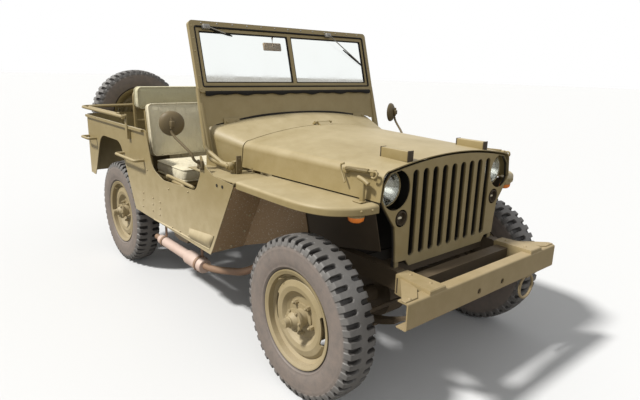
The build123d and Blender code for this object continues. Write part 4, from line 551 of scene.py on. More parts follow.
# The slot that each finish belongs to, unless a piece names another
SLOTS = (
    ("body_paint", (body_paint, splash_paint, tub_paint)),
    ("frame_paint", (frame_paint, under_paint, engine_metal, exhaust_steel, pipe_rust, bay_grey, grey_steel)),
    ("grip_plastic", (dark_rubber,)),
    ("tyre_rubber", (tyre_rubber,)),
    ("seat_canvas", (seat_canvas, bolster_canvas)),
    ("lamp_glass", (rope_fibre, clear_glass, amber_glass, red_glass, reflector, mirror_glass)),
)
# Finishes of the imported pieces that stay
NODE_FINISHES = (
    (body_paint, "side_left side_right rear_panel cowl hood windshield_frame bow_brackets steering_column "
                 "grab_handles fuel_tank"),
    (tub_paint, "floor"),
    (grille_paint, "grille"),
    (frame_paint, "rear_bumperettes tow_hook driver_seat_frame passenger_seat_frame rear_seat_pan rear_back_frame "
                  "front_bow rear_bow spare_carrier"),
    # the frame and running gear take the near-black paint, partly painted shade under the body
    (under_paint, "chassis_frame front_axle rear_axle leaf_springs drive_shafts knuckle_left knuckle_right tie_rod"),
    # the radiator's near-black metal is partly painted shade behind the grille
    (engine_metal, "engine gearbox radiator"),
    (clear_glass, "windshield_glass"),
    (dark_rubber, "steering_wheel"),
    (wheel_paint, "spare_wheel wheel_front_left wheel_front_right wheel_rear_left wheel_rear_right"),
)
for finish, names in NODE_FINISHES:
    for name in names.split():
        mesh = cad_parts[name].data
        mesh.materials.clear()
        mesh.materials.append(finish)


# Tyres: a closed section carried round the axle; slots run in from each shoulder and leave the middle rib
TYRE_LUGS = 46
SLOT_HALF = 10.5
SLOT_INNER_Y = 15
# half section: distance from the middle plane and radius over a lug, then the same two in a slot
TREAD_SECTION = np.array([
    (0, 356, 0, 356), (7, 355.9, 7, 355.9), (13, 355.7, 13, 355.7), (15.5, 355.6, 15.5, 348),
    (17.5, 355.5, 17.5, 341.5), (20, 355.3, 20, 339), (24, 355.1, 24, 338.5), (31, 354.7, 31, 338.5),
    (40, 353.9, 40, 338), (50, 352.7, 50, 337), (58, 351.2, 58, 336), (63, 349.6, 62, 335),
    (66.5, 346.5, 64.5, 334), (69, 342, 66.5, 333), (72, 335, 69, 329), (74.8, 327.5, 71, 324),
    (76.4, 321, 73, 319.5), (76.4, 318.6, 74.2, 317.6), (75.2, 316.4, 75.2, 316.4),
])
# sidewall from under the lugs to the bead: distance from the middle plane, radius
SIDEWALL = np.array([
    (76.2, 309), (77.3, 305), (76.9, 302), (77.6, 292), (78, 280), (77.7, 267), (76.2, 253), (73.6, 241),
    (70.4, 232.5), (70.9, 229.5), (67.6, 226), (63.2, 219.5), (60, 212), (58.3, 206), (57, 203.3),
])
PITCH_STEPS = (0, 0.045, 0.075, 0.15, 0.25, 0.35, 0.425, 0.455)


def tyre_surface(centre, along):
    """One tyre: at each angle the half section is blended from the lug's to the slot's by how far the angle is
    inside the slot's width, which narrows to nothing on a round end near the rib."""
    lug = np.concatenate([TREAD_SECTION[:, :2], SIDEWALL])
    slot = np.concatenate([TREAD_SECTION[:, 2:], SIDEWALL])
    steps = np.concatenate([PITCH_STEPS, np.array(PITCH_STEPS) + 0.5])
    turns = (np.arange(TYRE_LUGS)[:, None] + steps[None, :]).ravel()
    pitch = 2 * pi * TYRE_RADIUS / TYRE_LUGS
    halves = []
    for side, phase in ((1, 0.25), (-1, 0.75)):
        away = np.abs((turns - phase + 0.5) % 1.0 - 0.5) * pitch
        inward = np.clip(SLOT_INNER_Y + SLOT_HALF - lug[:, 0], 0, SLOT_HALF)
        width = np.sqrt(SLOT_HALF ** 2 - inward ** 2)
        share = np.clip(width[:, None] - away[None, :], 0, 1)[..., None]
        section = lug[:, None] * (1 - share) + slot[:, None] * share
        halves.append(section * [side, 1])
    section = np.concatenate([halves[1][:0:-1], halves[0]])
    angle = turns / TYRE_LUGS * 2 * pi
    across, radius = section[..., 0], section[..., 1]
    axis = np.array(along, float)
    spokes = np.cos(angle)[:, None] * np.cross(UP, axis) + np.sin(angle)[:, None] * np.array(UP)
    grid = np.array(centre) + across[..., None] * axis + radius[..., None] * spokes
    return surface(grid, wrap_rows=True, wrap_columns=True)


def shade_tyre(item, centre, along):
    """Records on each point how deep it is in a slot, for the painted shade there, and whether it is on the sidewall.
    """
    places = np.empty(len(item.data.vertices) * 3, np.float32)
    item.data.vertices.foreach_get("co", places)
    away = places.reshape(-1, 3) * 1000.0 - np.array(centre) - [FRONT_AXLE_X, 0, 0]
    across = away @ np.array(along, float)
    radius = np.linalg.norm(away - across[:, None] * np.array(along, float), axis=1)
    slot_shade_depth = np.clip((TYRE_RADIUS - 3 - radius) / 11, 0, 1) * (np.abs(across) < 66)
    side = np.clip((322 - radius) / 8, 0, 1)
    for label, values in (("groove", slot_shade_depth), ("sidewall", side)):
        item.data.attributes.new(label, "FLOAT", "POINT").data.foreach_set("value", values.astype(np.float32))


CORNERS = [(end + side, (x, way * TRACK_HALF, TYRE_RADIUS), (0, way, 0))
           for end, x in (("front_", 0), ("rear_", REAR_AXLE_X)) for side, way in (("left", 1), ("right", -1))]
SPARE_CENTRE = (-2722, -262, 968)
tyre_places = [("tyre_" + name, "wheel_" + name, centre, along) for name, centre, along in CORNERS]
for node, body, centre, along in tyre_places + [("spare_tyre", "car_body", SPARE_CENTRE, BACKWARD)]:
    tread = piece("treaded_" + node, tyre_surface(centre, along), tyre_rubber, 32, body, [node])
    shade_tyre(tread, centre, along)


# Wheel fittings: valve stem, hub studs, cap screws on the drive flange
def ring_places(centre, along, radius, count, offset, first=0.0):
    """Evenly spaced places on a circle about the axis."""
    u, v, w = frame_along(along)
    turn = first + np.arange(count)[:, None] * 2 * pi / count
    return np.array(centre) + offset * w + radius * (np.cos(turn) * u + np.sin(turn) * v)


def wheel_fittings(centre, along, with_hub):
    """Studs through the nuts, cap screws round the drive flange, and the valve stem beside the rim's vent."""
    u, v, w = frame_along(along)
    valve = np.array(centre) + 178 * (cos(2.2) * u + sin(2.2) * v)
    parts = [sweep([valve + 20 * w, valve + 36 * w - 6 * u, valve + 62 * w - 12 * u], [4.5, 4, 3.5], 8)]
    if with_hub:
        stud = lathe([(0, 0), (6, 0), (6, 8), (4, 10), (0, 10)], segments=10)
        parts += [copies(stud, ring_places(centre, along, 70, 5, 35, radians(54)), along),
                  copies(hex_bolt(6.5, 8), ring_places(centre, along, 43, 6, 70.5), along),
                  lathe([(20, 88), (22.5, 90), (22.5, 97), (20, 99)], centre, along, 24)]
    return parts


for name, centre, along in CORNERS:
    piece("wheel_fittings_" + name, wheel_fittings(centre, along, True), wheel_paint, 30, "wheel_" + name)
piece("spare_fittings", wheel_fittings(SPARE_CENTRE, BACKWARD, False), wheel_paint, 30)


# Cushions, in metres: a boxed form whose panels swell under pressure between seams that stay where they are sewn
def seam_distance(points, seams):
    """Distance from each point to the nearest seam point."""
    best = np.full(len(points), 9.0)
    for route in seams:
        for chunk in np.array_split(np.asarray(route), 8):
            best = np.minimum(best, np.linalg.norm(points[:, None] - chunk[None], axis=2).min(1))
    return best


def swollen(part, seams, cap, voxel=0.009, pressure=9.0):
    """Remeshes the form evenly, blows it up with cloth whose seams are pinned, and limits how far it moves."""
    points, quads = part
    mesh = bpy.data.meshes.new("form")
    mesh.from_pydata(points.tolist(), [], quads.tolist())
    form = bpy.data.objects.new("form", mesh)
    bpy.context.scene.collection.objects.link(form)
    merge(mesh, 1e-5)
    remesh = form.modifiers.new("even", "REMESH")
    remesh.mode = "VOXEL"
    remesh.voxel_size = voxel
    seen = bpy.context.evaluated_depsgraph_get()
    even = bpy.data.meshes.new_from_object(form.evaluated_get(seen))
    form.modifiers.clear()
    form.data = even
    rest = np.empty(len(even.vertices) * 3)
    even.vertices.foreach_get("co", rest)
    rest = rest.reshape(-1, 3)
    sewn = seam_distance(rest, seams) < voxel * 0.9
    group = form.vertex_groups.new(name="sewn")
    group.add(np.flatnonzero(sewn).tolist(), 1.0, "REPLACE")
    cloth = form.modifiers.new("cloth", "CLOTH")
    cloth.settings.use_pressure = True
    cloth.settings.uniform_pressure_force = pressure
    cloth.settings.vertex_group_mass = "sewn"
    cloth.settings.effector_weights.gravity = 0
    cloth.settings.quality = 5
    for step in range(1, 21):
        bpy.context.scene.frame_set(step)
    seen = bpy.context.evaluated_depsgraph_get()
    blown = form.evaluated_get(seen)
    moved = np.empty(len(rest) * 3)
    blown.data.vertices.foreach_get("co", moved)
    move = moved.reshape(-1, 3) - rest
    far = np.linalg.norm(move, axis=1, keepdims=True)
    rest = rest + move * np.minimum(1, cap / np.maximum(far, 1e-9))
    bpy.context.scene.frame_set(1)
    corners = np.empty(len(even.loops), np.int64)
    even.loops.foreach_get("vertex_index", corners)
    bpy.data.objects.remove(form)
    return rest, corners.reshape(-1, 4)


def loop_route(size, radius, centre, axes, height, count=12):
    """A rounded rectangle in the plane of two axes, raised along the third."""
    half = np.array(size) / 2 - radius
    turn = np.linspace(0, pi / 2, count)
    corners = []
    for k, (sx, sy) in enumerate(((1, 1), (-1, 1), (-1, -1), (1, -1))):
        angle = turn + k * pi / 2
        corners.append(np.stack([sx * half[0] + radius * np.cos(angle), sy * half[1] + radius * np.sin(angle),
                                 np.full(count, height)], -1))
    route = np.concatenate(corners)
    dense = []
    for a, b in zip(route, np.roll(route, -1, 0)):
        steps = max(1, int(np.linalg.norm(b - a) / 0.012))
        dense.append(a + (b - a) * np.linspace(0, 1, steps, endpoint=False)[:, None])
    return np.array(centre) + np.concatenate(dense) @ np.array(axes, float)


AXLE_M = FRONT_AXLE_X / 1000
SEAT_MID_Y = 0.385
BACK_RUN, BACK_RISE = 0.062, 0.396
back_tilt = np.arctan2(BACK_RUN, BACK_RISE)
BACK_UP = np.array([-sin(back_tilt), 0, cos(back_tilt)])
BACK_OUT = np.array([cos(back_tilt), 0, sin(back_tilt)])
BACK_AXES = np.stack([[0, 1, 0], BACK_UP, BACK_OUT])
PIPING = 0.0045


def piping(seams, axis):
    return joined([sweep(seam, PIPING, 8, closed=True, up=axis) for seam in seams])


def sewn_pad(size, radius, centre, cap, axes=np.eye(3), seam_share=0.35):
    """A boxed pad and its two runs of piping. Size is along the three axes; the last is its thickness."""
    form = rounded_box(size, radius, centre, axes, 4)
    inset = radius * seam_share
    lift = size[2] / 2 - radius * seam_share
    seams = [loop_route((size[0] - 2 * inset * 0.4, size[1] - 2 * inset * 0.4), radius, centre, axes, way * lift)
             for way in (1, -1)]
    return swollen(form, seams, cap), piping(seams, axes[2])


def seat_pads(middle_y):
    """A front seat's cushion on its pan and its back pad against the hoop."""
    seat = sewn_pad((0.396, 0.424, 0.084), 0.028, (AXLE_M - 1.3915, middle_y, 0.748), 0.020)
    back_low = np.array([AXLE_M - 1.634 + 0.0116 - BACK_RUN / BACK_RISE * (0.796 - 0.692), middle_y, 0.796])
    back_centre = back_low + BACK_UP * 0.171 + BACK_OUT * 0.030
    back = sewn_pad((0.450, 0.330, 0.054), 0.024, back_centre, 0.012, BACK_AXES)
    return joined([seat[0], back[0]]), joined([seat[1], back[1]])


def bolster_form():
    """The rear bolster: a long swollen roll whose lower edge is gathered in small even puckers."""
    centre = np.array([AXLE_M - 2.334 + 0.012 + 0.050, 0, 1.1315])
    axes = np.stack([[0, 1, 0], [0, 0, 1], [1, 0, 0]])
    seams = [loop_route((0.878, 0.150), 0.030, centre, axes, way * 0.034) for way in (1, -1)]
    points, quads = swollen(rounded_box((0.884, 0.160, 0.092), 0.034, centre, axes, 4), seams, 0.014)
    low = np.clip((1.105 - points[:, 2]) / 0.045, 0, 1) ** 1.5
    pucker = np.abs(np.sin(points[:, 1] * pi / 0.034)) ** 0.7 - 0.6
    points[:, 0] += 0.006 * pucker * low * np.sign(points[:, 0] - centre[0])
    return (points, quads), piping(seams, FORWARD)


def cushion(name, pad_name, pad, cords, canvas, body, node):
    """Makes the pad, with one even subdivision, and its piping."""
    pad, cords = ((points * 1000 - [FRONT_AXLE_X, 0, 0], quads) for points, quads in (pad, cords))
    item = piece(pad_name, pad, canvas, 80, body, [node])
    modifier = item.modifiers.new("smooth", "SUBSURF")
    modifier.levels = modifier.render_levels = 1
    piece(name + "_piping", cords, canvas, 80, body)


for side, body, way in (("driver", "car_body", 1), ("passenger", "passenger_seat", -1)):
    cushion(side + "_seat", side + "_seat_pads", *seat_pads(way * SEAT_MID_Y), seat_canvas, body,
            side + "_seat_cushions")
rear_pad = sewn_pad((0.372, 0.836, 0.072), 0.020, (AXLE_M - 2.071, 0, 0.730), 0.016)
cushion("rear_seat", "rear_seat_pad", *rear_pad, seat_canvas, "car_body", "rear_seat_cushion")
cushion("bolster", "bolster_pad", *bolster_form(), bolster_canvas, "rear_seat_back", "rear_bolster")


# Lamps
HEADLAMP, MARKER, TURN_LAMP, TAIL_LAMP = (197, 374, 922), (247, 334, 800), (182, 530, 822), (-2600, 600, 708)
LENS_CURVE = 71
lens_radii = np.linspace(1, LENS_CURVE, 12)
lens_outer = [(r, 13 * (1 - (r / LENS_CURVE) ** 2)) for r in lens_radii[::-1]]
lens_inner = [(r, z - 3) for r, z in lens_outer[::-1]]
piece("headlamp_bowls", turned_pair([(0.5, -82), (30, -80), (60, -50), (76.5, -18), (77.5, -6), (76.5, 1), (73.5, 3),
                                     (71.2, 0), (71.2, -4)], HEADLAMP, FORWARD, 48), body_paint, replaced=["lamps"])
piece("headlamp_reflectors", turned_pair([(r, -56 + 52 * (r / LENS_CURVE) ** 2) for r in lens_radii], HEADLAMP,
                                         FORWARD, 48), reflector, 60)
piece("headlamp_lenses", turned_pair(lens_inner + lens_outer, HEADLAMP, FORWARD, 48), clear_glass, 60)
piece("marker_lamps", turned_pair([(0.5, -55), (30, -52), (30, 0), (26.5, 0.5), (23.5, -16), (0.5, -16)], MARKER,
                                  FORWARD), under_paint, slot="body_paint")
piece("marker_lenses", both_sides(rounded_box((8, 22, 9), 3, (234, 334, 800))), seat_canvas, 60, slot="lamp_glass")
piece("lamp_cans", turned_pair([(0.5, 46), (30, 46), (30, 12), (33, 10), (33, 5)], TURN_LAMP, UP)
      + turned_pair([(37.5, -0.8), (37.5, 30), (35.5, 33), (30, 33)], TAIL_LAMP, BACKWARD), body_paint)
piece("turn_lenses", turned_pair([(32.5, 6), (33, 0), (31, -10), (22, -17), (0.5, -19)], TURN_LAMP, UP),
      amber_glass, 60)
piece("tail_lenses", turned_pair([(34.5, 31), (33, 37), (26, 41), (0.5, 43)], TAIL_LAMP, BACKWARD), red_glass, 60)


# Windshield: places on its plane, u to the car's left, v up the glass, n out of the front
RAKE = radians(15.6)
SHIELD_TOP = np.array([-1010, 0, 1600])
SHIELD_N = np.array([cos(RAKE), 0.0, sin(RAKE)])
SHIELD_AXES = np.stack([LEFT, [-sin(RAKE), 0.0, cos(RAKE)], SHIELD_N])
APRON_V = -360 / cos(RAKE)
PANE_MIDDLE, PANE_HALF = 295.5, 283.5


def on_shield(places):
    """Turns (u, v, n) into places in the car's frame."""
    return SHIELD_TOP + np.array(places, float) @ SHIELD_AXES


def shield_ring(half_u, top, bottom, n, radius, middle=0.0):
    """A bead of rubber round a rectangle on the windshield."""
    corners = [(middle + way * half_u, v, n) for way, v in ((-1, top), (1, top), (1, bottom), (-1, bottom))]
    return sweep(rounded_route(on_shield(corners), 12, closed=True), radius, 8, closed=True, up=SHIELD_N)


def shield_block(size, radius, place):
    return rounded_box(size, radius, on_shield(place), SHIELD_AXES)


rubber = [shield_ring(601, -30, APRON_V + 30, n, 6) for n in (9, -9)]
rubber += [shield_ring(PANE_HALF - 2, -54, APRON_V + 54, n, 4.5, way * PANE_MIDDLE)
           for n in (3.5, -3.5) for way in (1, -1)]
# a dark strip under the glass, whose low edge waves by the product of two sines
band_u = np.linspace(-596, 604, 90)
strip = [on_shield(np.column_stack([band_u, v + wave * np.sin(band_u * 0.041) * np.sin(band_u * 0.013),
                                    np.full(90, n)]))
         for v, wave, n in ((-366, 0, 13.5), (-371, 0, 16.5), (-379, 3, 15.5), (-387, 6, 12))]
piece("windshield_rubber", rubber + [sheet(np.stack(strip))], dark_rubber, 60, "windshield")
studs = on_shield([(u, -12, 13) for u in np.linspace(-560, 560, 13)])
piece("windshield_studs", copies(dome_rivet(5, 4), studs, SHIELD_N), grey_steel, 40, "windshield")
arms, wipers = [], []
for u, v, tip_u, tip_v in ((298, -31, 535, -187), (-540, -34, -426, -60)):
    arm = [(u, v, 34), (u + (tip_u - u) * 0.35, v + (tip_v - v) * 0.35, 27), (tip_u, tip_v, 17)]
    arms += [shield_block((40, 26, 22), 5, (u, v, 22)), sweep(on_shield([(u, v, -40), (u, v, 36)]), 5),
             sweep(on_shield([(u, v, -40), (u + 50, v - 2, -46)]), 4.5, 8), sweep(on_shield(arm), 3.2, 8)]
    along = unit(np.array([tip_u - u, tip_v - v]))
    blade = [(tip_u + along[0] * s, tip_v + along[1] * s, 9.5) for s in (-135, -50, 20, 45)]
    wipers.append(sweep(on_shield(blade), [3.5, 5.5, 5.5, 3.5], 8, up=SHIELD_N))
piece("wiper_arms", arms, grey_steel, 50, "windshield")
piece("wiper_blades", wipers, dark_rubber, 50, "windshield")
piece("inner_mirror", [shield_block((124, 46, 14), 6, (-86, -98, -52)),
                       sweep(on_shield([(-86, -24, -10), (-86, -50, -40), (-86, -95, -47)]), 5)],
      splash_paint, 50, "windshield")
PLATES = ((-463, -530), (480, -535))
piece("apron_plates", [shield_block((96, 40, 6), 2, (u, v, 5)) for u, v in PLATES], body_paint, 40, "windshield")
plate_bolts = [(u + side, v, 8) for u, v in PLATES for side in (-29, 29)]
rail_bolts = [(way * 616, v, 13) for way in (1, -1) for v in np.linspace(-30, APRON_V + 20, 6)]
rail_bolts += [(u, APRON_V + 12, 13) for u in np.linspace(-500, 500, 6)]
piece("windshield_bolts", [copies(hex_bolt(6.5, 5), on_shield(plate_bolts), SHIELD_N),
                           copies(dome_rivet(4.5, 3), on_shield(rail_bolts), SHIELD_N)], body_paint, 30, "windshield")


# Fenders: one sheet, flat on top and bent down over a rounded edge, with splash boards behind and inside the wheel
FENDER_TOP = 877
FENDER_LOW = 838
FENDER_BEND = 13
FENDER_COUNT = 72
fender_edge = smooth_line([(-424, -708), (-300, -707), (-150, -706), (-22, -702), (45, -693), (100, -676),
                           (145, -652), (180, -617), (205, -578), (222, -540), (231, -503), (234, -456)], FENDER_COUNT)
fender_inner = np.stack([np.linspace(-424, 200, FENDER_COUNT), np.linspace(-502, -456, FENDER_COUNT)], -1)


def fender_skin():
    """The right fender: across from the inner line to the bend, round a quarter circle and down the lip, whose low
    edge turns under. Every row follows the edge line, moved in or out along its normal."""
    along = np.gradient(fender_edge, axis=0)
    outward = unit(np.stack([along[:, 1], -along[:, 0]], -1))
    outward *= np.sign(np.sum(outward * (fender_edge - fender_inner), 1, keepdims=True))
    bend = fender_edge - FENDER_BEND * outward
    rows = [(fender_inner * (1 - t) + bend * t, FENDER_TOP - 3 * t * t) for t in np.linspace(0, 1, 10)]
    rows += [(bend + outward * FENDER_BEND * sin(a), FENDER_TOP - 3 - FENDER_BEND + FENDER_BEND * cos(a))
             for a in np.radians([15, 30, 45, 60, 75, 90])]
    rows += [(fender_edge, FENDER_LOW + 14), (fender_edge, FENDER_LOW + 3)]
    rows += [(fender_edge - back * outward, FENDER_LOW) for back in (3, 11)]
    return sheet(np.stack([np.column_stack([place, np.full(FENDER_COUNT, z)]) for place, z in rows]))


fender_right = fender_skin()
splash_right = joined([
    board((-421.5, -715.5, 846), (-421.5, -545, 846), (-650, -530, 464), (-650, -715.5, 464)),
    board((-420, -546, 868), (-250, -466, 868), (-262, -402, 585), (-646, -531, 468)),
])
for side, skin, boards in (("right", fender_right, splash_right),
                           ("left", mirrored(fender_right), mirrored(splash_right))):
    piece("fender_skin_" + side, skin, body_paint, replaced=["fender_" + side])
    piece("splash_boards_" + side, boards, splash_paint)
# the inner boards' near-black paint is partly painted shade inside the wheel wells
piece("inner_boards", both_sides(board((-252, -464, 868), (205, -456, 868), (205, -404, 660), (-262, -388, 560))),
      under_paint, slot="body_paint")
board_bolts = [(-649 + (z - 464) * 0.598, y, z)
               for y, z in ((-572, 768), (-568, 668), (-564, 572), (-612, 483), (-676, 483))]
piece("fender_bolts", both_sides(copies(hex_bolt(6.5, 6), board_bolts, (0.85, 0, -0.52)),
                                 copies(dome_rivet(6, 4), [(222, -541, 856), (233, -492, 856)], (0.94, -0.34, 0))),
      body_paint, 30)


# Front bumper: a channel with two holes, the block inside it, and gusset plates to the frame's horns
BUMPER_FRONT = 483
BUMPER_SPAN = 546
BUMPER_HIGH = 573
BUMPER_LOW = 463
BUMPER_ROUND = 9
HOLE_Y, HOLE_Z, HOLE_RADIUS, HOLE_PATCH = 88, 500, 13, 45


def bumper_channel():
    """The channel's outer line, from the top flange's rear edge round to the low flange's, carried across the car."""
    turn = np.radians(np.linspace(0, 90, 6))
    top = [(BUMPER_FRONT - 50, BUMPER_HIGH), (BUMPER_FRONT - 26, BUMPER_HIGH)]
    top += [(BUMPER_FRONT - BUMPER_ROUND * (1 - sin(t)), BUMPER_HIGH - BUMPER_ROUND * (1 - cos(t))) for t in turn]
    low = [(x, BUMPER_HIGH + BUMPER_LOW - z) for x, z in top[::-1]]
    web = [(BUMPER_FRONT, z) for z in np.linspace(BUMPER_HIGH - BUMPER_ROUND, BUMPER_LOW + BUMPER_ROUND, 13)[1:-1]]
    near, far = HOLE_Y - HOLE_PATCH, HOLE_Y + HOLE_PATCH
    across = np.concatenate([np.linspace(-BUMPER_SPAN, -far, 9), np.linspace(-far, -near, 13),
                             np.linspace(near, far, 13), np.linspace(far, BUMPER_SPAN, 9)])
    across = np.unique(np.round(across, 3))
    grid = np.stack([np.stack([np.full(len(across), x), across, np.full(len(across), z)], -1)
                     for x, z in top + web + low])
    first = len(top) - 1
    holes = []
    for middle in (-HOLE_Y, HOLE_Y):
        left, right = (int(np.argmin(np.abs(across - middle - way * HOLE_PATCH))) for way in (-1, 1))
        holes.append((first, first + 12, left, right, (BUMPER_FRONT, middle, HOLE_Z), HOLE_RADIUS))
    return sheet(grid, 6, holes)


gusset = prism([(471, -546, BUMPER_HIGH), (471, -480, BUMPER_HIGH), (418, -418, BUMPER_HIGH), (318, -385, BUMPER_HIGH),
                (312, -396, BUMPER_HIGH), (451, -546, BUMPER_HIGH)], (0, 0, 5))
horn = prism([(285, -322, 499), (480, -322, 499), (480, -418, 499), (285, -392, 499)], (0, 0, 89.5), 4)
bumper_heads = [(x, way * y, z) for x, y, z in ((462, 515, 578), (430, 355, 588.5), (330, 355, 588.5))
                for way in (1, -1)]
piece("bumper_channel", [bumper_channel(), both_sides(gusset), both_sides(horn),
                         copies(dome_rivet(8, 5), bumper_heads, UP)], frame_paint, 38, replaced=["front_bumper"])
piece("bumper_block", rounded_box((40, 960, BUMPER_HIGH - BUMPER_LOW - 14), 2,
                                  (BUMPER_FRONT - 27, 0, (BUMPER_HIGH + BUMPER_LOW) / 2)), under_paint,
      replaced=["bumper_filler"])
turn = np.linspace(0, 2 * pi, 36, endpoint=False)
ring_line = np.stack([np.full(36, 452), 368 + 58 * np.cos(turn), 392 + 58 * np.sin(turn)], -1)
piece("hung_ring", [sweep(ring_line, 6.5, closed=True, up=FORWARD), rounded_box((16, 26, 30), 4, (452, 368, 452))],
      frame_paint, 50)


# Hood: spring catches on its shoulders over T posts on the fenders, and metal ends on its blocks
def hood_catch():
    """The right catch: a coil round a rod between two saddles, a bent handle behind and a hook in front."""
    rear, front = np.array([47, -482, 992]), np.array([208, -470, 1000])
    turns = np.linspace(0, 2 * pi * 20, 200)
    spring = rear + (front - rear) * np.linspace(0.10, 0.84, 200)[:, None]
    spring = spring + 8.5 * np.stack([0 * turns, np.cos(turns), np.sin(turns)], -1)
    handle = rear + np.array([(4, 0, 20), (-10, -4, 14), (-6, -6, -10), (10, -8, -34), (24, -12, -54)])
    hook = front + np.array([(0, 0, 0), (14, -2, 2), (20, -4, -10), (10, -8, -22), (-4, -8, -20)])
    saddles = [rounded_box((20, 22, 26), 4, place) for place in (rear + [10, 8, -6], front + [-10, 8, -6])]
    return [sweep([rear, front], 4, 8), sweep(spring, 2.2, 6), bent_bar(handle, 20, 4.5, 8),
            bent_bar(hook, 16, 4.5, 8)] + saddles


piece("hood_catches", both_sides(*hood_catch()), frame_paint, 50, "hood")
piece("catch_posts", both_sides(
    rounded_box((22, 14, 84), 4, (172, -492, 918)), rounded_box((46, 34, 5), 2, (166, -500, 879.5)),
    bent_bar([(146, -492, 972), (164, -493, 969), (184, -493, 963), (202, -492, 953)], 12, 9.5)), frame_paint, 50)
BLOCKS_Y = (-288, 242)
piece("rest_blocks", [rounded_box((146, 32, 44), 3, (156, y, 1048)) for y in BLOCKS_Y], body_paint, 40, "hood",
      ["hood_blocks"])
piece("block_ends", [rounded_box((4, 34, 46), 1.5, (x, y, 1048.5)) for y in BLOCKS_Y for x in (231, 81)], under_paint,
      40, "hood")


# Body sides: rivet rows, the bulged step at the door's sill, the sill's lip and a tube on the door's edge
SIDE_Y = -721
side_rivets = [(-1503, 605), (-1356, 602), (-1255, 597), (-1517, 516), (-1367, 521), (-1265, 518), (-1510, 560),
               (-1362, 561), (-1260, 558), (-1423, 761), (-1127, 702), (-886, 734), (-700, 500), (-800, 495),
               (-900, 490), (-1000, 488), (-1100, 486)]


def sill_step():
    """The pressed step under the door: its height off the side is a half wave across and fades out to both ends."""
    x, s = np.linspace(0, 1, 40)[None, :], np.linspace(0, 1, 12)[:, None]
    out = SIDE_Y - 14 * np.sin(pi * s) * np.minimum(1, np.minimum(x, 1 - x) * 7) ** 0.5
    return sheet(np.stack([-615 - 47 * s - (270 - 50 * s) * x, out, 566 - 30 * x - s * (76 - 22 * x)], -1))


sill_lip = bent_bar([(-669, -717, 478), (-900, -718, 476), (-1105, -719, 474), (-1360, -717, 468)], 40, 6, 8)
piece("side_details", both_sides(copies(dome_rivet(6, 4), [(x, SIDE_Y, z) for x, z in side_rivets], RIGHT),
                                 sill_step(), sill_lip), body_paint)
mark = lathe([(0, 0), (8, 0), (8, 1.2), (0, 1.2)], segments=16)
piece("drilled_marks", both_sides(copies(mark, [(-574, SIDE_Y, 829), (-522, SIDE_Y, 832)], RIGHT)), engine_metal,
      slot="body_paint")
notch = [(-1105, -716, 471), (-905, -716, 471), (-925, -716, 436), (-1030, -716, 428), (-1085, -716, 440)]
piece("sill_outriggers", both_sides(prism(notch, (0, 30, 0), 3)), under_paint)
edge_tube = bent_bar([(-1160, -706, 760), (-1143, -712, 774), (-1000, -712, 771), (-873, -710, 766),
                      (-850, -700, 756)], 30, 9)
piece("door_edge_tubes", both_sides(edge_tube), frame_paint, 60)
cowl_arch = [(-874, y, 1122.5 - 50 * abs(y / 552) ** 2.4) for y in np.linspace(-552, 552, 60)]
piece("cowl_seal", sweep(cowl_arch, 8, 8), dark_rubber, 60)


# Exhaust: the muffler's drum, the long pipe behind it, the bent pipe from the engine and the hanger straps
MUFFLER = (-598, 262)
HANGER_TOP = 500
drum = lathe([(0.5, -4), (22, -3), (36, 0), (43, 12), (43, 196), (38, 208), (0.5, 212)], (-1165, *MUFFLER), FORWARD, 40)
long_pipe = lathe([(0.5, 0), (29, 2), (31, 10), (31, 400), (0.5, 402)], (-1562, *MUFFLER), FORWARD)
tail_pipe = lathe([(0.5, 4), (16, 4), (16, 0), (18, 0), (18, 80), (0.5, 80)], (-1630, *MUFFLER), FORWARD, 24)
bent_pipe = bent_bar([(-962, -598, 266), (-860, -598, 280), (-700, -588, 318), (-575, -565, 355), (-480, -470, 420),
                      (-440, -330, 460), (-380, -250, 490), (-345, -190, 500), (-345, -152, 500)], 60, 20, 14)
straps = []
for x, size in ((-1010, 45.5), (-1500, 33.5)):
    straps += [lathe(band(size, size + 2, 11), (x, *MUFFLER), FORWARD),
               rounded_box((28, 5, HANGER_TOP - MUFFLER[1] - size), 1,
                           (x, MUFFLER[0] + 10, (HANGER_TOP + MUFFLER[1] + size) / 2))]
piece("muffler_drum", [drum, long_pipe], exhaust_steel, replaced=["exhaust"])
piece("exhaust_pipes", [tail_pipe, bent_pipe] + straps, pipe_rust)


# Windshield arms: a thick tube from each post's foot forward to its pivot, with the pivot's eye and bolt
PIVOT = (-620, -622, 905)
arm_route = rounded_route([(-895, -625, 1190), (-837, -623, 980), (-815, -622, 912), (-680, -622, 905), PIVOT], 30,
                          steps=8)
piece("windshield_arms", both_sides(
    sweep(arm_route, 14, 14),
    lathe([(0.5, -13), (18, -13), (20, -11), (20, 11), (18, 13), (0.5, 13)], PIVOT, LEFT, 24),
    copies(hex_bolt(11, 8), [(-620, -635, 905)], RIGHT)), body_paint, 50, "windshield")
piece("pivot_plates", both_sides(rounded_box((8, 28, 88), 2, (-588, -590, 914)),
                                 copies(hex_bolt(6, 5), [(-584, -590, 942), (-584, -590, 888)], FORWARD)), tub_paint)


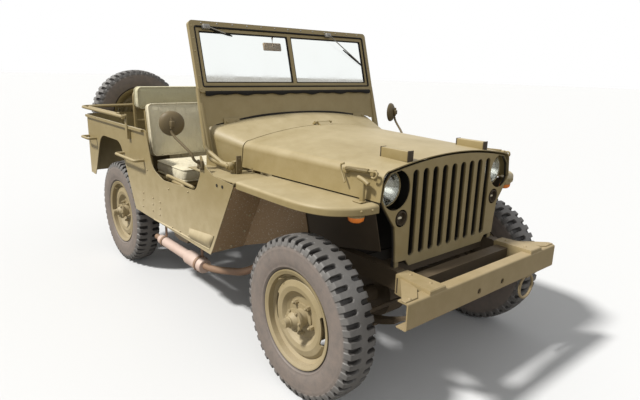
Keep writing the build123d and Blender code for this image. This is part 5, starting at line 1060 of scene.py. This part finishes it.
# Mirrors: a domed back with its bolt and clamp, the glass, and the bent arm on its bracket
mirror_parts, mirror_panes = [], []
for way in (1, -1):
    foot = np.array([-722, way * 728, 912])
    head = np.array([-868, way * 800, 1097])
    faces = unit(np.array([-0.92, -way * 0.36, -0.04]))
    stem = head - faces * 28
    mirror_panes.append(lathe([(0.5, 8.2), (57.5, 8.2), (57.5, 10.5), (0.5, 10.5)], head, faces, 40))
    mirror_parts += [
        lathe([(0.5, -17), (20, -16.5), (42, -12), (57, -3), (62, 5), (62, 11), (60, 12), (58, 8), (0.5, 8)], head,
              faces, 40),
        copies(hex_bolt(9, 8), [head - faces * 17], -faces),
        bent_bar([foot, foot + [0, way * 30, 20], foot + [-20, way * 45, 60], stem + [0, 0, -50], stem,
                  stem + [-4, 0, 30]], 30, 7),
        rounded_box((26, 20, 30), 5, head - faces * 26), rounded_box((48, 12, 46), 3, foot + [0, -way, -6]),
        copies(hex_bolt(6, 5), [foot + [side, way * 5, -20] for side in (15, -15)], (0, way, 0)),
    ]
piece("mirror_heads", mirror_parts, tub_paint, 45, replaced=["mirrors"])
piece("mirror_panes", mirror_panes, mirror_glass, 45)


# Dash: round dials with tick marks, switch knobs, blank plates and a pull handle under it
DASH_X = -880
dial_rims, dial_faces, dial_ticks = [], [], []


def dial_bar(width, length, place, lift, spoke, reach):
    """A thin bar in front of a dial, along the spoke, its middle the reach from the dial's."""
    axes = np.stack([FORWARD, np.cross(FORWARD, spoke), spoke])
    return rounded_box((0.6, width, length), 0.2, np.array(place) + [-lift, 0, 0] + spoke * reach, axes, 1)


for y, z, r in ((100, 1035, 42), (22, 1064, 25), (22, 1004, 25), (178, 1064, 25), (178, 1004, 25)):
    place = (DASH_X, y, z)
    dial_rims.append(lathe([(r - 4, 0.5), (r - 4, 4), (r, 5), (r + 2, 3), (r + 2, -1)], place, BACKWARD, 36))
    dial_faces.append(lathe([(0.5, 1), (r - 3, 1), (r - 3, 0), (0.5, 0)], place, BACKWARD, 36))
    for turn in np.radians(np.linspace(-120, 120, 13 if r > 30 else 5)):
        dial_ticks.append(dial_bar(1.2, 5, place, 1.4, np.array([0, -sin(turn), cos(turn)]), r - 9))
    dial_ticks.append(dial_bar(1.6, r * 0.8, place, 1.8, unit(np.array([0, 0.5, 0.9])), r * 0.3))
knob = lathe([(0.5, 20), (8, 19), (9, 12), (4, 10), (4, -1)], segments=16)
glove_edge = rounded_route([(-882, -115, 1078), (-882, -425, 1062), (-882, -425, 985), (-882, -115, 985)], 12,
                           closed=True)
piece("dial_rims", dial_rims, tub_paint)
piece("dial_faces", dial_faces, dark_rubber, slot="lamp_glass")
piece("dial_ticks", dial_ticks, rope_fibre)
piece("dash_knobs", [copies(knob, [(DASH_X, y, 1000) for y in (-40, 225, 265, 430, 470)], BACKWARD),
                     sweep([(-840, 130, 950), (-935, 130, 942)], 6, 8), sweep([(-935, 85, 942), (-935, 175, 942)], 7)],
      dark_rubber)
piece("dash_plates", [rounded_box((1.2, 75, 44), 0.5, (DASH_X - 0.8, y, 1035)) for y in (-150, -240, -330)], grey_steel)
piece("glove_door_edge", sweep(glove_edge, 1.6, 6, closed=True, up=FORWARD), under_paint, 60, slot="body_paint")


# Levers and pedals
levers, lever_knobs, pads = [], [], []
LEVERS = [([(-800, -30, 600), (-830, -28, 700), (-930, -10, 880), (-960, -5, 925)], 8, 19)]
LEVERS += [([(-900, y, 600), (-930, y, 700), (-975, y, 785)], 6.5, 14) for y in (-75, -115)]
for route, radius, knob in LEVERS:
    levers.append(bent_bar(route, 20, radius))
    lever_knobs.append(lathe([(max(knob * cos(t), 0.3), knob * sin(t)) for t in np.linspace(-pi / 2, pi / 2, 9)],
                             route[-1], UP, 20))
lean = np.stack([unit(np.array([0.53, 0, 0.85])), LEFT, unit(np.array([-0.85, 0, 0.53]))])
for y, size in ((455, 64), (335, 64), (240, 46)):
    foot = np.array([-640, y, 690])
    pads.append(rounded_box((size * 1.1, size, 10), 4, foot, lean))
    levers.append(bent_bar([foot - lean[2] * 4, foot - lean[2] * 50 - [0, 0, 20], (-545, y, 668)], 12, 7, 8))
gaiter = lathe([(45, 0), (40, 10), (30, 18), (26, 28), (18, 36), (12, 50), (0.5, 52)], (-803, -30, 606), UP, 28)
piece("levers", levers, tub_paint, 50, slot="frame_paint")
piece("lever_knobs", lever_knobs + [gaiter], dark_rubber, 50)
piece("pedal_pads", pads, dark_rubber, 50)


# Engine bay, seen when the hood is up: head with its nuts, air cleaner and its hose, battery, fan, water hose
FAN = (105, 0, 760)


def fan_blades():
    """Four blades: each a patch from the hub out, its pitch easing off towards the tip."""
    parts = [lathe([(0.5, 16), (34, 14), (36, 0), (34, -12), (0.5, -14)], FAN, FORWARD, 24)]
    reach, width = np.linspace(25, 165, 10)[:, None], np.linspace(-0.5, 0.5, 6)[None, :]
    pitch, chord = radians(38) - reach * 0.002, 40 + 0.20 * reach
    for spin in 0.4 + np.arange(4) * pi / 2:
        out, side = np.array([0, cos(spin), sin(spin)]), np.array([0, -sin(spin), cos(spin)])
        place = (reach[..., None] * out + (width * chord * np.cos(pitch))[..., None] * side
                 + (width * chord * np.sin(pitch))[..., None] * np.array(FORWARD))
        parts.append(sheet(np.array(FAN) + place, 2))
    return parts


head_nuts = [(-170 + x, y, 931) for x in np.linspace(-185, 185, 6) for y in (-85, 0, 85)]
piece("engine_head", [
    rounded_box((410, 200, 34), 6, (-170, 0, 914)), copies(hex_bolt(9, 10), head_nuts),
    lathe([(0.5, 52), (34, 50), (38, 44), (38, 6), (30, 0)], (35, 30, 901), UP, 24),
    lathe([(0.5, 30), (16, 28), (20, 20), (20, 0)], (-330, 120, 900), UP, 20)], bay_grey)
generator = lathe([(0.5, -95), (50, -92), (54, -80), (54, 80), (50, 92), (20, 95), (20, 112), (40, 114), (40, 128),
                   (0.5, 130)], (-60, 205, 760), FORWARD)
carburettor = [rounded_box((70, 70, 110), 12, (-200, -190, 830)),
               lathe([(0.5, 40), (30, 38), (34, 20), (34, 0)], (-200, -190, 880), UP, 24)]
clamps = [lathe(band(20.5, 22, 6), place, axis, 24)
          for place, axis in (((40, 36, 944), (0.9, 0.1, 0.35)), ((140, 60, 961), FORWARD))]
piece("engine_fittings", [generator] + carburettor + fan_blades() + clamps, bay_grey)
piece("air_cleaner", lathe([(0.5, 235), (40, 232), (72, 222), (78, 210), (78, 180), (72, 176), (72, 20), (66, 4),
                            (0.5, 0)], (-120, -290, 690), UP, 36), tub_paint)
piece("bay_hoses", [
    bent_bar([(20, 30, 935), (70, 45, 955), (130, 60, 962), (165, 60, 955)], 24, 20, 16),
    bent_bar([(-120, -290, 905), (-140, -262, 945), (-180, -220, 950), (-200, -190, 915)], 24, 26, 16)],
      dark_rubber, 50)
piece("battery_box", [rounded_box((170, 240, 190), 8, (-470, -300, 780)),
                      rounded_box((174, 20, 12), 3, (-470, -300, 879))]
      + [lathe([(0.5, 10), (14, 9), (16, 0)], (-470, y, 875), UP, 16) for y in (-360, -240)], dark_rubber)
# the fins' near-black metal is partly painted shade behind the grille
piece("radiator_fins", copies(rounded_box((6, 1.6, 360), 0.4, steps=1),
                              [(208.5, y, 785) for y in np.linspace(-225, 225, 91)]), engine_metal)
PLUGS_X = (-135, -45, 45, 135)
piece("spark_plugs", [lathe([(0.5, 40), (5, 38), (6, 16), (10, 12), (10, 0)], (-170 + x, -55, 931), UP, 16)
                      for x in PLUGS_X], rope_fibre, 50)
piece("plug_leads", [bent_bar([(-170 + x, -55, 931), (-170 + x, -45, 967), (-250 + x * 0.4, 40, 966),
                               (-322 + x * 0.05, 116, 925)], 24, 3.2, 8) for x in PLUGS_X], dark_rubber, 50)

# Rear: the spare wheel's nuts
piece("spare_nuts", copies(hex_bolt(14, 16), ring_places(SPARE_CENTRE, BACKWARD, 70, 3, 20, 0.3), BACKWARD),
      wheel_paint, 30, slot="frame_paint")


# Stage, in metres: a pale floor, a pale surround seen by the camera, and soft lamps
def stage_setting():
    """A round floor far larger than the car, white where the camera sees it and plain where it lights the car."""
    floor_points, floor_quads = lathe([(0.001, 0), (6, 0), (60, 0)], (0, 0, -0.0005), UP, 64)
    material, tree, shader = finish_start("pale_floor")
    camera_sees = add_node(tree, "ShaderNodeLightPath").outputs["Is Camera Ray"]
    give(tree, shader.inputs, {"Base Color": blend_colours(tree, camera_sees, (0.27, 0.26, 0.245), (0.665, 0.68, 0.70)),
                               "Roughness": 0.95})
    mesh = bpy.data.meshes.new("floor_plane")
    mesh.from_pydata(floor_points.tolist(), [], floor_quads.tolist())
    mesh.materials.append(material)
    ground = bpy.data.objects.new("floor_plane", mesh)
    bpy.context.scene.collection.objects.link(ground)
    world = bpy.data.worlds.new("studio")
    world.use_nodes = True
    bpy.context.scene.world = world
    tree = world.node_tree
    tree.nodes.clear()
    path = add_node(tree, "ShaderNodeLightPath")
    seen = math_node(tree, "MAXIMUM", path.outputs["Is Camera Ray"], path.outputs["Is Glossy Ray"])
    seen = math_node(tree, "MAXIMUM", seen, path.outputs["Is Transmission Ray"], clamp=True)
    soft, white = (add_node(tree, "ShaderNodeBackground", {"Color": colour, "Strength": strength}).outputs[0]
                   for colour, strength in (((1.0, 0.985, 0.95), 0.42), ((1, 1, 1), 1.0)))
    mixed = add_node(tree, "ShaderNodeMixShader", {0: seen, 1: soft, 2: white})
    add_node(tree, "ShaderNodeOutputWorld", {0: mixed.outputs[0]})


def lamp(name, kind, place, target, energy, size, colour=(1, 0.97, 0.92)):
    """A light that looks at the target."""
    light = bpy.data.lights.new(name, kind)
    light.energy = energy
    light.color = colour
    if kind == "AREA":
        light.shape = "DISK"
        light.size = size
    else:
        light.angle = size
    item = bpy.data.objects.new(name, light)
    bpy.context.scene.collection.objects.link(item)
    away = (Vector(place) - Vector(target)).normalized()
    side = Vector(UP).cross(away).normalized()
    item.matrix_world = standing(side, away.cross(side), away, place)


def standing(side, up, away, place):
    """A matrix at the place with the three directions as its own X, Y and Z."""
    return Matrix([(side[k], up[k], away[k], place[k]) for k in range(3)] + [(0, 0, 0, 1)])


stage_setting()
lamp("key_lamp", "SUN", (-1.6, -4.2, 5.9), (0, 0, 0.6), 4.2, radians(7.0))
lamp("front_lamp", "AREA", (6.0, -3.0, 3.0), (0.2, 0, 0.7), 45, 3.5, (1, 1, 1))

# Camera: its place, its heading and tilt, its roll, and a focal length fitted to the car's known sizes
CAMERA_PLACE = (2.746, -1.886, 1.389)
CAMERA_HEADING = radians(139.67)
CAMERA_TILT = radians(-14.544)
CAMERA_ROLL = radians(1.539)
look = Vector((cos(CAMERA_TILT) * cos(CAMERA_HEADING), cos(CAMERA_TILT) * sin(CAMERA_HEADING), sin(CAMERA_TILT)))
level_right = look.cross(Vector(UP)).normalized()
level_up = level_right.cross(look)
right = cos(CAMERA_ROLL) * level_right + sin(CAMERA_ROLL) * level_up
up = cos(CAMERA_ROLL) * level_up - sin(CAMERA_ROLL) * level_right
lens = bpy.data.cameras.new("camera")
lens.lens = 36 * 514.44 / 640
lens.sensor_width = 36
lens.sensor_fit = "HORIZONTAL"
lens.clip_start = 0.02
camera = bpy.data.objects.new("camera", lens)
bpy.context.scene.collection.objects.link(camera)
camera.matrix_world = standing(right, up, -look, CAMERA_PLACE)
bpy.context.scene.camera = camera
bpy.context.scene.view_settings.view_transform = "Standard"
